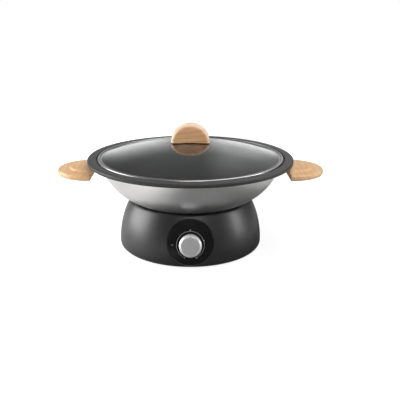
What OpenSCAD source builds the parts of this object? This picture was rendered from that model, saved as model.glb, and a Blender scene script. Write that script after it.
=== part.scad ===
// Electric wok: a cast pan with a glass lid, set on a round heated base.
// The base stands on z = 0, the dial faces -Y and the two handles lie along X.

/* [Base housing] */
// Height of the top of the housing over the table
base_h = 87; // [82:0.5:94]
// Widest radius of the housing
base_r = 127; // [125:0.5:131]
// Radius of the curve of the housing's side
side_curve_r = 160; // [150:1:190]
// Radius of the rounded shoulder at the top
shoulder_r = 4.5; // [3:0.5:6]
// Radius of the rounded bottom edge
bottom_edge_r = 8; // [6:0.5:9]
// How far the feet hold the housing off the table
foot_drop = 2; // [1.5:0.5:4]
// Thickness of the moulded wall
base_wall = 3; // [2.5:0.1:3.6]
// Radius of the opening that the pan sinks into
seat_r = 99; // [97:0.5:100.5]

/* [Control panel and dial] */
// Radius of the round control panel
panel_r = 38; // [34:0.5:38.5]
// Thickness of the control panel
panel_t = 2.5; // [2:0.1:3]
// Height of the middle of the panel over the table
panel_z = 44.5; // [43:0.5:46]
// How far the panel leans back, in degrees
panel_tilt = 13; // [12:0.5:14]
// Distance of the dial's axis below the middle of the panel
dial_drop = 5; // [3:0.5:7]
// Radius of the dial
dial_r = 18.5; // [17:0.5:20]
// How far the dial stands out of the panel
dial_h = 15; // [12:0.5:18]
// Radius of the flat face of the dial
dial_face_r = 15; // [13:0.5:15.5]
// Radius of the thermostat's shaft
shaft_r = 3; // [2.5:0.1:3.2]
// Sideways distance of the pilot lamp from the dial's axis
pilot_x = 29.5; // [27:0.5:31]
// Radius of the pilot lamp's lens
pilot_r = 1.8; // [1.2:0.1:2.4]

/* [Heating] */
// Radius of the heating element's tube
element_tube_r = 4; // [3:0.25:4.25]
// Radius of the element's inner loop
element_inner_r = 44; // [42:1:46]
// Radius of the element's outer loop
element_outer_r = 67; // [65:1:69]
// Width of the opening between the ends of the loops, in degrees
element_gap_deg = 56; // [52:2:70]
// Clear height between the element and the reflector
reflector_space = 10; // [8:0.5:13]
// Thickness of the reflector's sheet
reflector_t = 1; // [0.8:0.1:1.5]
// Radius of the reflector's flat bottom
reflector_flat_r = 75; // [74:0.5:77]

/* [Pan] */
// Radius of the pan's flat bottom
pan_flat_r = 67; // [64:0.5:70]
// Radius of the curve from the bottom up to the rim
pan_curve_r = 93; // [90:0.5:96]
// Height of the pan from its bottom to the top of the rim
pan_h = 79; // [76:0.5:82]
// Thickness of the cast wall
pan_wall = 4; // [3.5:0.1:4.5]
// Depth of the step that the lid lies in
lid_recess = 3.6; // [3:0.1:4.2]
// Width of the step that the lid lies in
ledge_w = 10.6; // [9.5:0.1:12]
// Width of the flat rim outside the step
rim_w = 15; // [14:0.5:18]
// Height of the rim's turned-down edge
rim_drop = 6.2; // [5.5:0.1:8]

/* [Handles] */
// Radius of each half-round wooden handle
handle_r = 60.5; // [56:0.5:64]
// Thickness of the handle's outer part
handle_t = 10; // [9:0.5:12]
// Radius of the raised middle of the handle
handle_pad_r = 38; // [36:0.5:42]
// Height of the raised middle
handle_step = 3.5; // [2.5:0.5:4.5]
// Height of the handle's underside over the pan's bottom
handle_z = 49.3; // [48:0.5:51]
// How far the handle reaches in under the rim
handle_under = 10; // [8:0.5:12]

/* [Lid] */
// Height of the middle of the glass over the lid's edge
dome_h = 28.1; // [22:0.5:34]
// Thickness of the glass
glass_t = 3.2; // [2.8:0.1:4]
// Gap all round between the lid and the rim
lid_play = 2.4; // [1.5:0.1:3]
// Thickness of the steel band's sheet
band_t = 0.6; // [0.4:0.1:0.8]
// Radius of the half-round wooden knob
knob_r = 34; // [30:0.5:38]
// Thickness of the knob from front to back
knob_t = 22; // [18:0.5:26]
// Rounding of the knob's edges
knob_edge = 5.5; // [3:0.5:7]
// Thickness of the soft washer between the knob and the glass
gasket_t = 1; // [0.8:0.1:1.5]

/* [Hidden] */
$fn = 64;
side_steps = 8;
bowl_steps = 18;
dome_steps = 8;
edge_steps = 5;

// Running gap between pieces that are lifted or turned
run_gap = 0.3;
// Fit between a round piece and the hole that it is set in
fit_gap = 0.15;
// Play of the turning shaft in its bush, and of a pressed or threaded piece
shaft_play = 0.08;
press_gap = 0.05;
// Length that a cutting shape runs past what it cuts, and one that goes through the wall
over = 1;
cut_len = 30;

// Seat ring: its lip lies in a rebate round the housing's opening
lip_w = 3.6;
lip_t = 1.5;
seat_ring_h = 10;
seat_ring_w = 13;
seat_in_r = seat_r - seat_ring_w;

// Housing: its side is an arc that touches the arc of the bottom edge and that of the shoulder,
// and the shoulder starts a narrow flat land outside the seat ring's lip
top_land = 1.96;
edge_cx = base_r - bottom_edge_r;
wide_z = foot_drop + bottom_edge_r;
shoulder_cx = seat_r + lip_w + top_land;
shoulder_cz = base_h - shoulder_r;
edge_to_shoulder = [shoulder_cx - edge_cx, shoulder_cz - wide_z];
side_chord = norm(edge_to_shoulder);
side_up = edge_to_shoulder / side_chord;
side_a = (pow(side_curve_r - bottom_edge_r, 2) - pow(side_curve_r - shoulder_r, 2)
    + pow(side_chord, 2)) / (2 * side_chord);
side_b = sqrt(pow(side_curve_r - bottom_edge_r, 2) - pow(side_a, 2));
side_cx = edge_cx + side_a * side_up[0] - side_b * side_up[1];
side_cz = wide_z + side_a * side_up[1] + side_b * side_up[0];
edge_deg = atan2(wide_z - side_cz, edge_cx - side_cx);
shoulder_deg = atan2(shoulder_cz - side_cz, shoulder_cx - side_cx);
hollow_lift = 1;
cover_t = 2.5;
cover_inset = 5;
cover_r = edge_cx - cover_inset;
ledge_w_in = 9;
ledge_r = cover_r - ledge_w_in;
ledge_h = 3;
boss_r = 5;
boss_ring_r = ledge_r + boss_r - 2;
boss_h = 14;
boss_deg = [0, 60, 120, 180, 240, 300];
cover_screw_r = 1.8;
cover_thread_r = 1.5;
cover_screw_len = 8;
cover_screw_head_r = 3.4;
cover_screw_head_t = 1.2;

// Control panel, in its own frame: +Z out of the panel, +Y up along it
panel_y = sqrt(pow(side_r(panel_z), 2) - pow(panel_r, 2));
pad_t = 3;
pad_r = panel_r + 3;
bush_edge = 2;
bush_r = shaft_r + bush_edge;
nut_r = 7.5;
nut_t = 2.4;
body_w = 30;
body_up = 24;
body_deep = 22;
body_back = panel_t + pad_t + body_deep;
shaft_foot = 8;
bush_top = 0.8;
tube_boss_r = 3;
tube_boss_h = 4;
tab_x = 8;
tab_len = 7;
tab_w = 6.3;
tab_t = 0.8;
tab_back = 6;
dial_skirt = 0.6;
dial_wall = 2.2;
dial_edge_r = 2;
dial_side_draft = 0.2;
dial_edge_z = dial_h - 4.5;
lens_edge = 0.6;
lens_top = 0.8;
lens_flange_t = 1;
lens_flange_w = 0.8;
lamp_len = 12;
lamp_more = 1;
dial_rim = 0.6;
dial_rim_drop = 0.2;
face_sink = 1.2;
face_t = 0.8;
pointer_w = 1.4;
pointer_d = 3;
pointer_len = 2.6;
shaft_top = dial_h - 5;
hub_r = shaft_r + 2.6;
hub_start = nut_t + 1.8;
flat_cut = 0.7;

// Pan: where it stands, and the radii of its step and rim
pan_z = base_h + run_gap - pan_rise(seat_r);
step_z = pan_h - lid_recess;
pan_inner_r = pan_curve_r - pan_wall;
ledge_in_r = pan_flat_r + sqrt(pow(pan_inner_r, 2) - pow(pan_curve_r - step_z, 2));
recess_r = ledge_in_r + ledge_w;
rim_r = recess_r + rim_w;
rim_t = 3.4;
rim_edge_r = 3.4;
rim_lip_t = 3;
ledge_t = 3.8;
root_z = step_z - ledge_t;

// Handles: half-discs whose flat side lies under the rim, held by a lug each
handle_chord = rim_r - handle_under;
handle_flat = 4;
handle_cx = handle_chord + handle_flat;
handle_edge = 3.5;
lug_z = handle_z + 3.5;
lug_t = 5;
lug_w = 32;
lug_start = 40;
lug_reach = 25;
lug_end = handle_chord + lug_reach;
handle_screw_r = 1.9;
handle_screw_head_r = 3.6;
handle_screw_in = 14;
handle_screw_x = handle_chord + handle_screw_in;
handle_screw_y = 9;
handle_screw_head_t = 1.8;
handle_screw_len = 8;
head_sink = 0.4;

// Lid: the band lies on the step, and the glass is bent flat where the band holds it
lid_z = pan_z + step_z + run_gap;
band_r = recess_r - lid_play;
band_grip = 5.8;
band_h = glass_t + 2 * band_t;
glass_r = band_r - band_t - fit_gap;
bend_r = glass_r - band_grip - 0.4;
glass_top = band_t + glass_t;
dome_sag = dome_h - glass_top;
dome_R = (pow(bend_r, 2) + pow(dome_sag, 2)) / (2 * dome_sag);
dome_cz = dome_h - dome_R;
lid_hole_r = 4;
knob_screw_r = 2.5;
knob_z = lid_z + dome_h;
insert_r = 4.5;
insert_h = 15;
gasket_r = 11;
washer_t = 1.5;
screw_head_h = 2.6;
washer_gap = 0.4;
washer_z = knob_z - glass_t - washer_gap - washer_t;
knob_hole_r = knob_screw_r + 0.3;

// Heating: the element lies just under the pan, over the reflector
element_z = pan_z - run_gap - element_tube_r;
dish_floor = element_z - element_tube_r - reflector_space;
dish_under = dish_floor - reflector_t;
dish_flange_z = base_h - seat_ring_h;
dish_flange_w = 9;
dish_inset = 4;
dish_lip_r = seat_in_r + dish_flange_w;
dish_top_r = seat_in_r - dish_inset;
dish_in_r = reflector_flat_r - reflector_t;
turn_r = (element_outer_r - element_inner_r) / 2;
start_deg = 90 - element_gap_deg / 2;
elbow_r = 10;
cold_leg = 12;
pin_r = 1.4;
pin_h = 9;
leg_play = 1.2;
leg_hole_r = element_tube_r + leg_play;
bracket_deg = [-80, 30, 180];
bracket_t = 2;
bracket_foot = 12;
bracket_sheet = 1.2;
bracket_end = 8;
bracket_sill = 4;
bracket_gap = 0.8;
post_deg = [-45, 45, 200];
post_ring_r = 55;
post_r = 5;
dish_screw_r = 1.7;
dish_screw_head_r = 3.4;
dish_screw_head_h = 2;
dish_screw_len = 10;

// Sensor: a bulb clipped in the middle of the reflector, with its fine tube
bulb_r = 2.6;
bulb_len = 56;
bulb_z = pan_z - 1 - bulb_r;
bulb_y = bulb_len / 2;
tube_r = 1;
tube_bend = 7;
tube_x = 0;
clip_w = 12;
clip_d = 8;
clip_foot = 6;
clip_sheet = 1.2;

// Supply side: gland at the back, terminal block on the cover
gland_z = 24;
gland_bore_r = 3.7;
gland_body_r = 6.4;
gland_flange_r = 9.5;
gland_flange_t = 2;
gland_in = 12;
gland_wall = base_wall + 2;
gland_nut_t = 3;
spot_depth = 1;
gland_y = side_r(gland_z) - spot_depth;
block_w = 36;
block_d = 16;
block_h = 13;
block_in = 42;
block_y = cover_r - block_in;
block_z = foot_drop + cover_t + block_h / 2;
pole_x = 12;
lead_r = 1.3;
foot_r = 9;
foot_in = 22;
foot_ring_r = cover_r - foot_in;
foot_stem_r = 3;
foot_sink = 0.8;
foot_deg = [45, 135, 225, 315];
vent_r = 26;
vent_len = 11;
vent_w = 3;
vents = 24;
fuse_r = 2.6;
fuse_len = 22;
fuse_x = 22;
fuse_y = 18;
fuse_z = dish_under - fuse_r - 0.2;
fuse_clip_w = 14;
fuse_clip_d = 8;
fuse_clip_t = 1.4;

// Height of the pan's outside over its own bottom, at radius r
function pan_rise(r) = r <= pan_flat_r ? 0
    : pan_curve_r - sqrt(pow(pan_curve_r, 2) - pow(r - pan_flat_r, 2));
// Points of an arc with centre (cx, cz), from angle a0 to a1 in n steps
function arc(cx, cz, r, a0, a1, n) =
    [for (i = [0:n]) let (a = a0 + (a1 - a0) * i / n) [cx + r * cos(a), cz + r * sin(a)]];
// World place of a point given in the control panel's frame
function from_panel(p) = [
    p[0],
    -panel_y + p[1] * sin(panel_tilt) - p[2] * cos(panel_tilt),
    panel_z + p[1] * cos(panel_tilt) + p[2] * sin(panel_tilt)
];
// Radius of the housing's outside at height z on its curved side
function side_r(z) = side_cx + sqrt(pow(side_curve_r, 2) - pow(z - side_cz, 2));
// Radius of the reflector's inside at height z
function dish_r(z) = dish_in_r + (dish_top_r - dish_in_r) * (z - dish_floor) / (dish_flange_z - dish_floor);

module on_panel() {
    translate([0, -panel_y, panel_z]) rotate([90 - panel_tilt, 0, 0]) children();
}
module on_dial_axis() {
    on_panel() translate([0, -dial_drop, 0]) children();
}
module on_back(z) {
    translate([0, gland_y, z]) rotate([-90, 0, 0]) children();
}
module ring_of(angles, r) {
    for (a = angles) rotate([0, 0, a]) translate([r, 0, 0]) children();
}
// Path through a row of points, with each corner cut by a curve that starts "cut" before it
function rounded(p, cut, steps) = concat(
    [p[0]],
    [for (i = [1:1:len(p) - 2]) let (
        a = p[i] - cut * unit(p[i] - p[i - 1]),
        b = p[i] + cut * unit(p[i + 1] - p[i])
    ) for (k = [0:steps]) let (u = k / steps)
        a * (1 - u) * (1 - u) + p[i] * 2 * u * (1 - u) + b * u * u],
    [p[len(p) - 1]]
);
function unit(v) = v / norm(v);
// Side directions along a path, each turned as little as possible from the one before
function carried(t, m, i) = i == len(t) ? []
    : let (n = unit(m - (m * t[i]) * t[i])) concat([n], carried(t, n, i + 1));
// Tube of a wire or fine pipe, swept along a path
module wire(points, r, cut, sides = 8) {
    path = rounded(points, cut, 4);
    last = len(path) - 1;
    t = [for (i = [0:last]) unit(path[min(i + 1, last)] - path[max(i - 1, 0)])];
    side = abs(t[0][2]) < 0.7 ? [0, 0, 1] : [1, 0, 0];
    m = carried(t, side, 0);
    ring = [for (i = [0:last], k = [0:sides - 1]) let (a = 360 * k / sides)
        path[i] + r * (cos(a) * m[i] + sin(a) * cross(t[i], m[i]))];
    walls = [for (i = [0:last - 1], k = [0:sides - 1]) let (
        a = i * sides + k,
        b = i * sides + (k + 1) % sides
    ) each [[a, a + sides, b], [b, a + sides, b + sides]]];
    ends = [for (k = [1:sides - 2], e = [0, last * sides])
        e == 0 ? [0, k, k + 1] : [e, e + k + 1, e + k]];
    polyhedron(points = ring, faces = concat(walls, ends));
}
module tube(r_out, r_in, h) {
    difference() {
        cylinder(h = h, r = r_out);
        translate([0, 0, -over]) cylinder(h = h + 2 * over, r = r_in);
    }
}

// ---- Base housing ----

module housing_solid() {
    step_deg = (shoulder_deg - edge_deg) / side_steps;
    rotate_extrude() polygon(concat(
        [[0, foot_drop]],
        arc(edge_cx, wide_z, bottom_edge_r, -90, edge_deg, edge_steps),
        arc(side_cx, side_cz, side_curve_r, edge_deg + step_deg, shoulder_deg, side_steps - 1),
        arc(shoulder_cx, shoulder_cz, shoulder_r, shoulder_deg + 12, 90, 3),
        [[0, base_h]]
    ));
}
module housing_hollow() {
    top_z = base_h - base_wall;
    inner_r = side_curve_r - base_wall;
    top_deg = asin((top_z - side_cz) / inner_r);
    step_deg = (top_deg - edge_deg) / side_steps;
    corner_r = bottom_edge_r - base_wall;
    rotate_extrude() polygon(concat(
        [[0, foot_drop - over], [cover_r + fit_gap, foot_drop - over],
         [cover_r + fit_gap, foot_drop + cover_t], [ledge_r, foot_drop + cover_t],
         [ledge_r, foot_drop + cover_t + ledge_h]],
        arc(edge_cx, wide_z + hollow_lift, corner_r, -45, edge_deg, edge_steps),
        arc(side_cx, side_cz + hollow_lift, inner_r, edge_deg + step_deg, top_deg, side_steps - 1),
        [[0, top_z]]
    ));
}
module base_housing() color("#2b2b2e") {
    difference() {
        union() {
            difference() {
                housing_solid();
                housing_hollow();
            }
            intersection() {
                housing_solid();
                on_panel() translate([0, 0, -panel_t - pad_t]) cylinder(h = cut_len, r = pad_r);
            }
            ring_of(boss_deg, boss_ring_r) translate([0, 0, foot_drop + cover_t + over])
                cylinder(h = boss_h, r = boss_r);
            intersection() {
                housing_solid();
                on_back(gland_z) translate([0, 0, -gland_wall])
                    cylinder(h = cut_len, r = gland_flange_r + 2);
            }
        }
        // Room for the seat ring over its whole height, and the rebate for its lip
        translate([0, 0, base_h - seat_ring_h - run_gap])
            cylinder(h = seat_ring_h + run_gap + over, r = seat_r);
        translate([0, 0, base_h - lip_t]) cylinder(h = lip_t + over, r = seat_r + lip_w);
        on_panel() translate([0, 0, -panel_t]) cylinder(h = cut_len, r = panel_r + fit_gap);
        on_dial_axis() translate([0, 0, -cut_len]) cylinder(h = cut_len, r = bush_r + fit_gap);
        on_dial_axis() translate([-pilot_x, 0, -cut_len])
            cylinder(h = cut_len, r = pilot_r + fit_gap);
        ring_of(boss_deg, boss_ring_r) translate([0, 0, foot_drop])
            cylinder(h = boss_h, r = cover_thread_r);
        on_back(gland_z) cylinder(h = cut_len, r = gland_flange_r + run_gap);
        on_back(gland_z) translate([0, 0, -cut_len])
            cylinder(h = 2 * cut_len, r = gland_body_r + fit_gap);
    }
}

// Ring round the opening, whose top follows the curve of the pan that sits in it
module seat_ring() color("#1d1d1f") {
    seat = [for (i = [0:8]) let (r = seat_in_r + (seat_r - seat_in_r) * i / 8)
        [r, pan_z + pan_rise(r) - run_gap]];
    rotate_extrude() polygon(concat(
        [[seat_in_r, base_h - seat_ring_h]],
        seat,
        [[seat_r + lip_w - fit_gap, base_h], [seat_r + lip_w - fit_gap, base_h - lip_t],
         [seat_r - fit_gap, base_h - lip_t], [seat_r - fit_gap, base_h - seat_ring_h]]
    ));
}

// ---- Control panel ----

module control_panel() color("#0c0c0e") on_panel() {
    difference() {
        translate([0, 0, -panel_t]) cylinder(h = panel_t, r = panel_r);
        translate([0, -dial_drop, -panel_t - over])
            cylinder(h = panel_t + 2 * over, r = bush_r + fit_gap);
        translate([-pilot_x, -dial_drop, -panel_t - over])
            cylinder(h = panel_t + 2 * over, r = pilot_r + fit_gap);
    }
}
module pilot_lens() color("#5a1712") on_dial_axis() translate([-pilot_x, 0, 0]) {
    rotate_extrude() polygon(concat(
        [[0, -panel_t - pad_t], [pilot_r, -panel_t - pad_t]],
        arc(pilot_r - lens_edge, 0, lens_edge, 0, 90, 4),
        [[0, lens_top]]
    ));
    translate([0, 0, -panel_t - pad_t - lens_flange_t])
        cylinder(h = lens_flange_t, r = pilot_r + lens_flange_w);
}
module pilot_lamp() color("#c9b28a") on_dial_axis() {
    translate([-pilot_x, 0, -panel_t - pad_t - lens_flange_t - lamp_len])
        cylinder(h = lamp_len, r = pilot_r + lamp_more);
}
module thermostat_body() color("#d9d2c2") on_dial_axis() {
    difference() {
        union() {
            translate([-body_w / 2, -body_up / 2, -body_back]) cube([body_w, body_up, body_deep]);
            translate([0, 0, -panel_t - pad_t - over])
                cylinder(h = panel_t + pad_t + over + nut_t + bush_top, r = bush_r);
            translate([tube_x, 0, -body_back - tube_boss_h])
                cylinder(h = tube_boss_h + over, r = tube_boss_r);
            for (x = [-tab_x, tab_x])
                translate([x - tab_t / 2, -body_up / 2 - tab_len, -body_back + tab_back])
                    cube([tab_t, tab_len + over, tab_w]);
        }
        translate([0, 0, -body_back + shaft_foot])
            cylinder(h = body_back + nut_t + bush_top + over, r = shaft_r + shaft_play);
    }
}
module thermostat_nut() color("silver") on_dial_axis() {
    difference() {
        cylinder(h = nut_t, r = nut_r, $fn = 6);
        translate([0, 0, -over]) cylinder(h = nut_t + 2 * over, r = bush_r + press_gap);
    }
}

// ---- Dial ----

// Cross-section of the shaft with its flat
module shaft_section(r) {
    difference() {
        circle(r = r);
        translate([r - flat_cut, -r]) square([2 * r, 2 * r]);
    }
}
module dial_knob() color("silver") on_dial_axis() {
    difference() {
        rotate_extrude() polygon(concat(
            [[0, dial_skirt], [dial_r - dial_side_draft, dial_skirt], [dial_r, dial_edge_z]],
            arc(dial_r - dial_edge_r, dial_edge_z, dial_edge_r, 15, 60, 4),
            [[dial_face_r + dial_rim, dial_h], [dial_face_r, dial_h - dial_rim_drop],
             [dial_face_r, dial_h - face_sink], [0, dial_h - face_sink]]
        ));
        difference() {
            translate([0, 0, -over]) cylinder(h = shaft_top + 0.8 + over, r = dial_r - dial_wall);
            translate([0, 0, hub_start]) cylinder(h = dial_h, r = hub_r);
        }
        translate([0, 0, hub_start - over]) linear_extrude(shaft_top - hub_start + over)
            shaft_section(shaft_r + press_gap);
        pointer_block(press_gap);
    }
}
// Short bar let into the dial's bevelled edge, at the top at rest
module pointer_block(grow) {
    translate([-pointer_w / 2 - grow, dial_face_r - dial_rim - grow, dial_h - pointer_d])
        cube([pointer_w + 2 * grow, pointer_len + 2 * grow, pointer_d + over * grow]);
}
module dial_face() color("#b9babc") on_dial_axis() {
    difference() {
        translate([0, 0, dial_h - face_sink]) cylinder(h = face_t, r = dial_face_r - fit_gap);
        pointer_block(press_gap);
    }
}
module dial_pointer() color("#26262a") on_dial_axis() {
    intersection() {
        pointer_block(0);
        rotate_extrude() polygon([[0, 0], [dial_r - 1.4, 0], [dial_r - 1.4, dial_h - 3.2],
            [dial_face_r + dial_rim, dial_h], [0, dial_h]]);
    }
}
module thermostat_shaft() color("#9a9ca0") on_dial_axis() {
    translate([0, 0, -body_back + shaft_foot + run_gap])
        cylinder(h = body_back - shaft_foot - run_gap + hub_start, r = shaft_r);
    translate([0, 0, hub_start]) linear_extrude(shaft_top - hub_start) shaft_section(shaft_r);
}

// ---- Sensor ----

module sensor_bulb() color("#b87333") {
    translate([0, bulb_y, bulb_z]) rotate([90, 0, 0]) cylinder(h = bulb_len, r = bulb_r);
}
// Saddle that holds the bulb up against the pan, on the middle of the reflector
module sensor_clip() color("#9b9da1") {
    difference() {
        union() {
            translate([-clip_w / 2, -clip_d / 2, dish_floor])
                cube([clip_w, clip_d, bulb_z - dish_floor]);
            translate([-clip_w / 2 - clip_foot, -clip_d / 2, dish_floor])
                cube([clip_w + 2 * clip_foot, clip_d, clip_sheet]);
        }
        translate([0, clip_d, bulb_z]) rotate([90, 0, 0]) cylinder(h = 2 * clip_d, r = bulb_r);
        translate([-clip_w / 2 + clip_sheet, -clip_d, dish_floor + clip_sheet])
            cube([clip_w - 2 * clip_sheet, 2 * clip_d,
                bulb_z - dish_floor - bulb_r - 2 * clip_sheet]);
    }
}
// Fine tube from the end of the bulb down through the reflector to the thermostat
module capillary_tube() color("#b87333") {
    start = from_panel([tube_x, -dial_drop, -body_back - tube_boss_h]);
    out = from_panel([tube_x, -dial_drop, -body_back - tube_boss_h - 8]);
    down_y = -bulb_y - tube_bend;
    wire([
        start,
        out,
        [tube_x, down_y, out[2]],
        [0, down_y, bulb_z],
        [0, -bulb_y, bulb_z]
    ], tube_r, tube_bend - 2);
}

// ---- Heating ----

module reflector_dish() color("#b4b6b8") {
    hole_h = reflector_t + 2 * over;
    difference() {
        rotate_extrude() polygon([
            [0, dish_under],
            [reflector_flat_r, dish_under],
            [dish_top_r + reflector_t, dish_flange_z - reflector_t],
            [dish_lip_r, dish_flange_z - reflector_t],
            [dish_lip_r, dish_flange_z],
            [dish_top_r, dish_flange_z],
            [dish_in_r, dish_floor],
            [0, dish_floor]
        ]);
        translate([0, 0, dish_under - over]) {
            for (r = [element_inner_r, element_outer_r]) rotate([0, 0, start_deg])
                translate([r, elbow_r, 0]) cylinder(h = element_z - dish_under, r = leg_hole_r);
            translate([0, -bulb_y - tube_bend, 0]) cylinder(h = hole_h, r = tube_r + 1);
            ring_of(post_deg, post_ring_r) cylinder(h = hole_h, r = dish_screw_r + fit_gap);
        }
    }
}
// One tube in two loops: out round the inner ring, back round the outer ring
module heating_element() color("#8f9194") {
    sweep = 360 - element_gap_deg;
    mid_r = (element_inner_r + element_outer_r) / 2;
    translate([0, 0, element_z]) {
        for (r = [element_inner_r, element_outer_r]) {
            rotate([0, 0, start_deg - sweep]) rotate_extrude(angle = sweep)
                translate([r, 0]) circle(r = element_tube_r, $fn = 32);
            // Elbow down to the cold end
            rotate([0, 0, start_deg]) translate([r, 0, -elbow_r]) rotate([90, 0, 90])
                rotate_extrude(angle = 90) translate([elbow_r, 0]) circle(r = element_tube_r, $fn = 32);
            rotate([0, 0, start_deg]) translate([r, elbow_r, -elbow_r - cold_leg])
                cylinder(h = cold_leg, r = element_tube_r);
            rotate([0, 0, start_deg]) translate([r, elbow_r, -elbow_r - cold_leg - pin_h])
                cylinder(h = pin_h, r = pin_r);
        }
        // Half turn that joins the two loops
        rotate([0, 0, start_deg - sweep]) translate([mid_r, 0, 0]) rotate([0, 0, 180])
            rotate_extrude(angle = 180) translate([turn_r, 0]) circle(r = element_tube_r, $fn = 32);
    }
}
// Brackets with saddles that carry the two loops, their outer edge along the reflector's slope
module element_brackets() color("#a6a8ab") {
    from = element_inner_r - bracket_end;
    foot_end = dish_in_r - bracket_gap;
    for (a = bracket_deg) rotate([0, 0, a]) difference() {
        union() {
            translate([0, bracket_t / 2, 0]) rotate([90, 0, 0]) linear_extrude(bracket_t) polygon([
                [from, dish_floor], [foot_end, dish_floor],
                [dish_r(element_z) - bracket_gap, element_z], [from, element_z]
            ]);
            translate([from, -bracket_foot / 2, dish_floor])
                cube([foot_end - over - from, bracket_foot, bracket_sheet]);
        }
        for (r = [element_inner_r, element_outer_r]) translate([0, 0, element_z])
            rotate([0, 0, -15]) rotate_extrude(angle = 30)
                translate([r, 0]) circle(r = element_tube_r + press_gap, $fn = 32);
        translate([element_inner_r + bracket_end - 1, -bracket_foot, dish_floor + bracket_sill])
            cube([2 * turn_r - 2 * bracket_end + 2, 2 * bracket_foot, 2 * reflector_space]);
    }
}
module reflector_screws() color("#c9cbce") ring_of(post_deg, post_ring_r) {
    translate([0, 0, dish_floor]) cylinder(h = dish_screw_head_h, r = dish_screw_head_r);
    translate([0, 0, dish_floor - dish_screw_len])
        cylinder(h = dish_screw_len, r = dish_screw_r);
}
module thermal_fuse() color("#d8d8d0") {
    translate([fuse_x, fuse_y + fuse_len / 2, fuse_z]) rotate([90, 0, 0])
        cylinder(h = fuse_len, r = fuse_r);
}
module fuse_clip() color("#9b9da1") {
    difference() {
        translate([fuse_x - fuse_clip_w / 2, fuse_y - fuse_clip_d / 2,
            dish_under - 2 * fuse_r - fuse_clip_t])
            cube([fuse_clip_w, fuse_clip_d, 2 * fuse_r + fuse_clip_t]);
        translate([fuse_x, fuse_y + fuse_clip_d, fuse_z]) rotate([90, 0, 0])
            cylinder(h = 2 * fuse_clip_d, r = fuse_r + press_gap);
        translate([fuse_x - fuse_r, fuse_y - fuse_clip_d, dish_under - fuse_r])
            cube([2 * fuse_r, 2 * fuse_clip_d, fuse_r + over]);
    }
}

// ---- Underside ----

module bottom_cover() color("#242427") {
    hole_h = cover_t + 2 * over;
    difference() {
        union() {
            translate([0, 0, foot_drop]) cylinder(h = cover_t, r = cover_r);
            ring_of(post_deg, post_ring_r) translate([0, 0, foot_drop])
                cylinder(h = dish_under - foot_drop, r = post_r);
        }
        translate([0, 0, foot_drop - over]) {
            for (i = [0:vents - 1]) rotate([0, 0, 360 * (i + 0.5) / vents])
                translate([vent_r, -vent_w / 2, 0]) cube([vent_len, vent_w, hole_h]);
            ring_of(boss_deg, boss_ring_r) {
                cylinder(h = hole_h, r = cover_screw_r + fit_gap);
                cylinder(h = cover_screw_head_t + over, r = cover_screw_head_r + fit_gap);
            }
            ring_of(foot_deg, foot_ring_r) {
                cylinder(h = foot_sink + over, r = foot_r + fit_gap);
                cylinder(h = hole_h, r = foot_stem_r + fit_gap);
            }
        }
        ring_of(post_deg, post_ring_r) translate([0, 0, dish_under - dish_screw_len])
            cylinder(h = dish_screw_len + over, r = dish_screw_r + press_gap);
    }
}
module cover_screws() color("#6d6f73") ring_of(boss_deg, boss_ring_r) {
    translate([0, 0, foot_drop]) cylinder(h = cover_screw_head_t, r = cover_screw_head_r);
    translate([0, 0, foot_drop + cover_screw_head_t]) cylinder(h = cover_screw_len, r = cover_thread_r);
}
module rubber_feet() color("#151515") ring_of(foot_deg, foot_ring_r) {
    stem_z = foot_drop + cover_t + 1.5;
    rotate_extrude() polygon([
        [0, 0], [foot_r - 1, 0], [foot_r, 1],
        [foot_r, foot_drop + foot_sink], [foot_stem_r, foot_drop + foot_sink],
        [foot_stem_r, stem_z], [0, stem_z]
    ]);
}
module terminal_block() color("#e8e4d8") {
    difference() {
        translate([-block_w / 2, block_y - block_d / 2, foot_drop + cover_t])
            cube([block_w, block_d, block_h]);
        for (x = [-pole_x, 0, pole_x]) translate([x, block_y, block_z]) {
            translate([0, -block_d, 0]) rotate([-90, 0, 0])
                cylinder(h = 2 * block_d, r = lead_r + 0.5);
            cylinder(h = block_h, r = 2);
        }
    }
}
// Place of the lower end of the element's pin on the loop of radius r
function pin_at(r) = [
    r * cos(start_deg) - elbow_r * sin(start_deg),
    r * sin(start_deg) + elbow_r * cos(start_deg),
    element_z - elbow_r - cold_leg - pin_h
];
// Point on or below the thermostat's left or right terminal
function tab_at(side, down) =
    from_panel([side * tab_x, -dial_drop - body_up / 2 - tab_len - down, -body_back + tab_back + 3]);
// Insulated leads: terminal block to element, terminal block to thermostat, and on to the element
module internal_leads() color("#c8452f") {
    front = block_y - block_d / 2;
    outer_pin = pin_at(element_outer_r);
    inner_pin = pin_at(element_inner_r);
    wire([
        [pole_x, front + 5, block_z],
        [pole_x, front - 8, block_z],
        [outer_pin[0], front - 8, block_z],
        [outer_pin[0], outer_pin[1], block_z + 8],
        outer_pin
    ], lead_r, 6);
    wire([
        [-pole_x, front + 5, block_z],
        [-pole_x, front - 8, block_z],
        tab_at(-1, 6) + [-4, 14, 1],
        tab_at(-1, 6),
        tab_at(-1, 0)
    ], lead_r, 3);
    wire([
        inner_pin,
        inner_pin - [0, 0, 6],
        [20, 0, block_z + block_h],
        tab_at(1, 6) + [4, 14, 1],
        tab_at(1, 6),
        tab_at(1, 0)
    ], lead_r, 3);
}
module cord_gland() color("#1a1a1c") on_back(gland_z) {
    difference() {
        union() {
            rotate_extrude() polygon(concat([[0, 0], [gland_flange_r, 0]],
                arc(gland_flange_r - 1, gland_flange_t - 1, 1, 0, 90, 4), [[0, gland_flange_t]]));
            translate([0, 0, -gland_in]) cylinder(h = gland_in + 0.5, r = gland_body_r);
        }
        translate([0, 0, -gland_in - over])
            cylinder(h = gland_in + gland_flange_t + 2 * over, r = gland_bore_r);
    }
}
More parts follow.
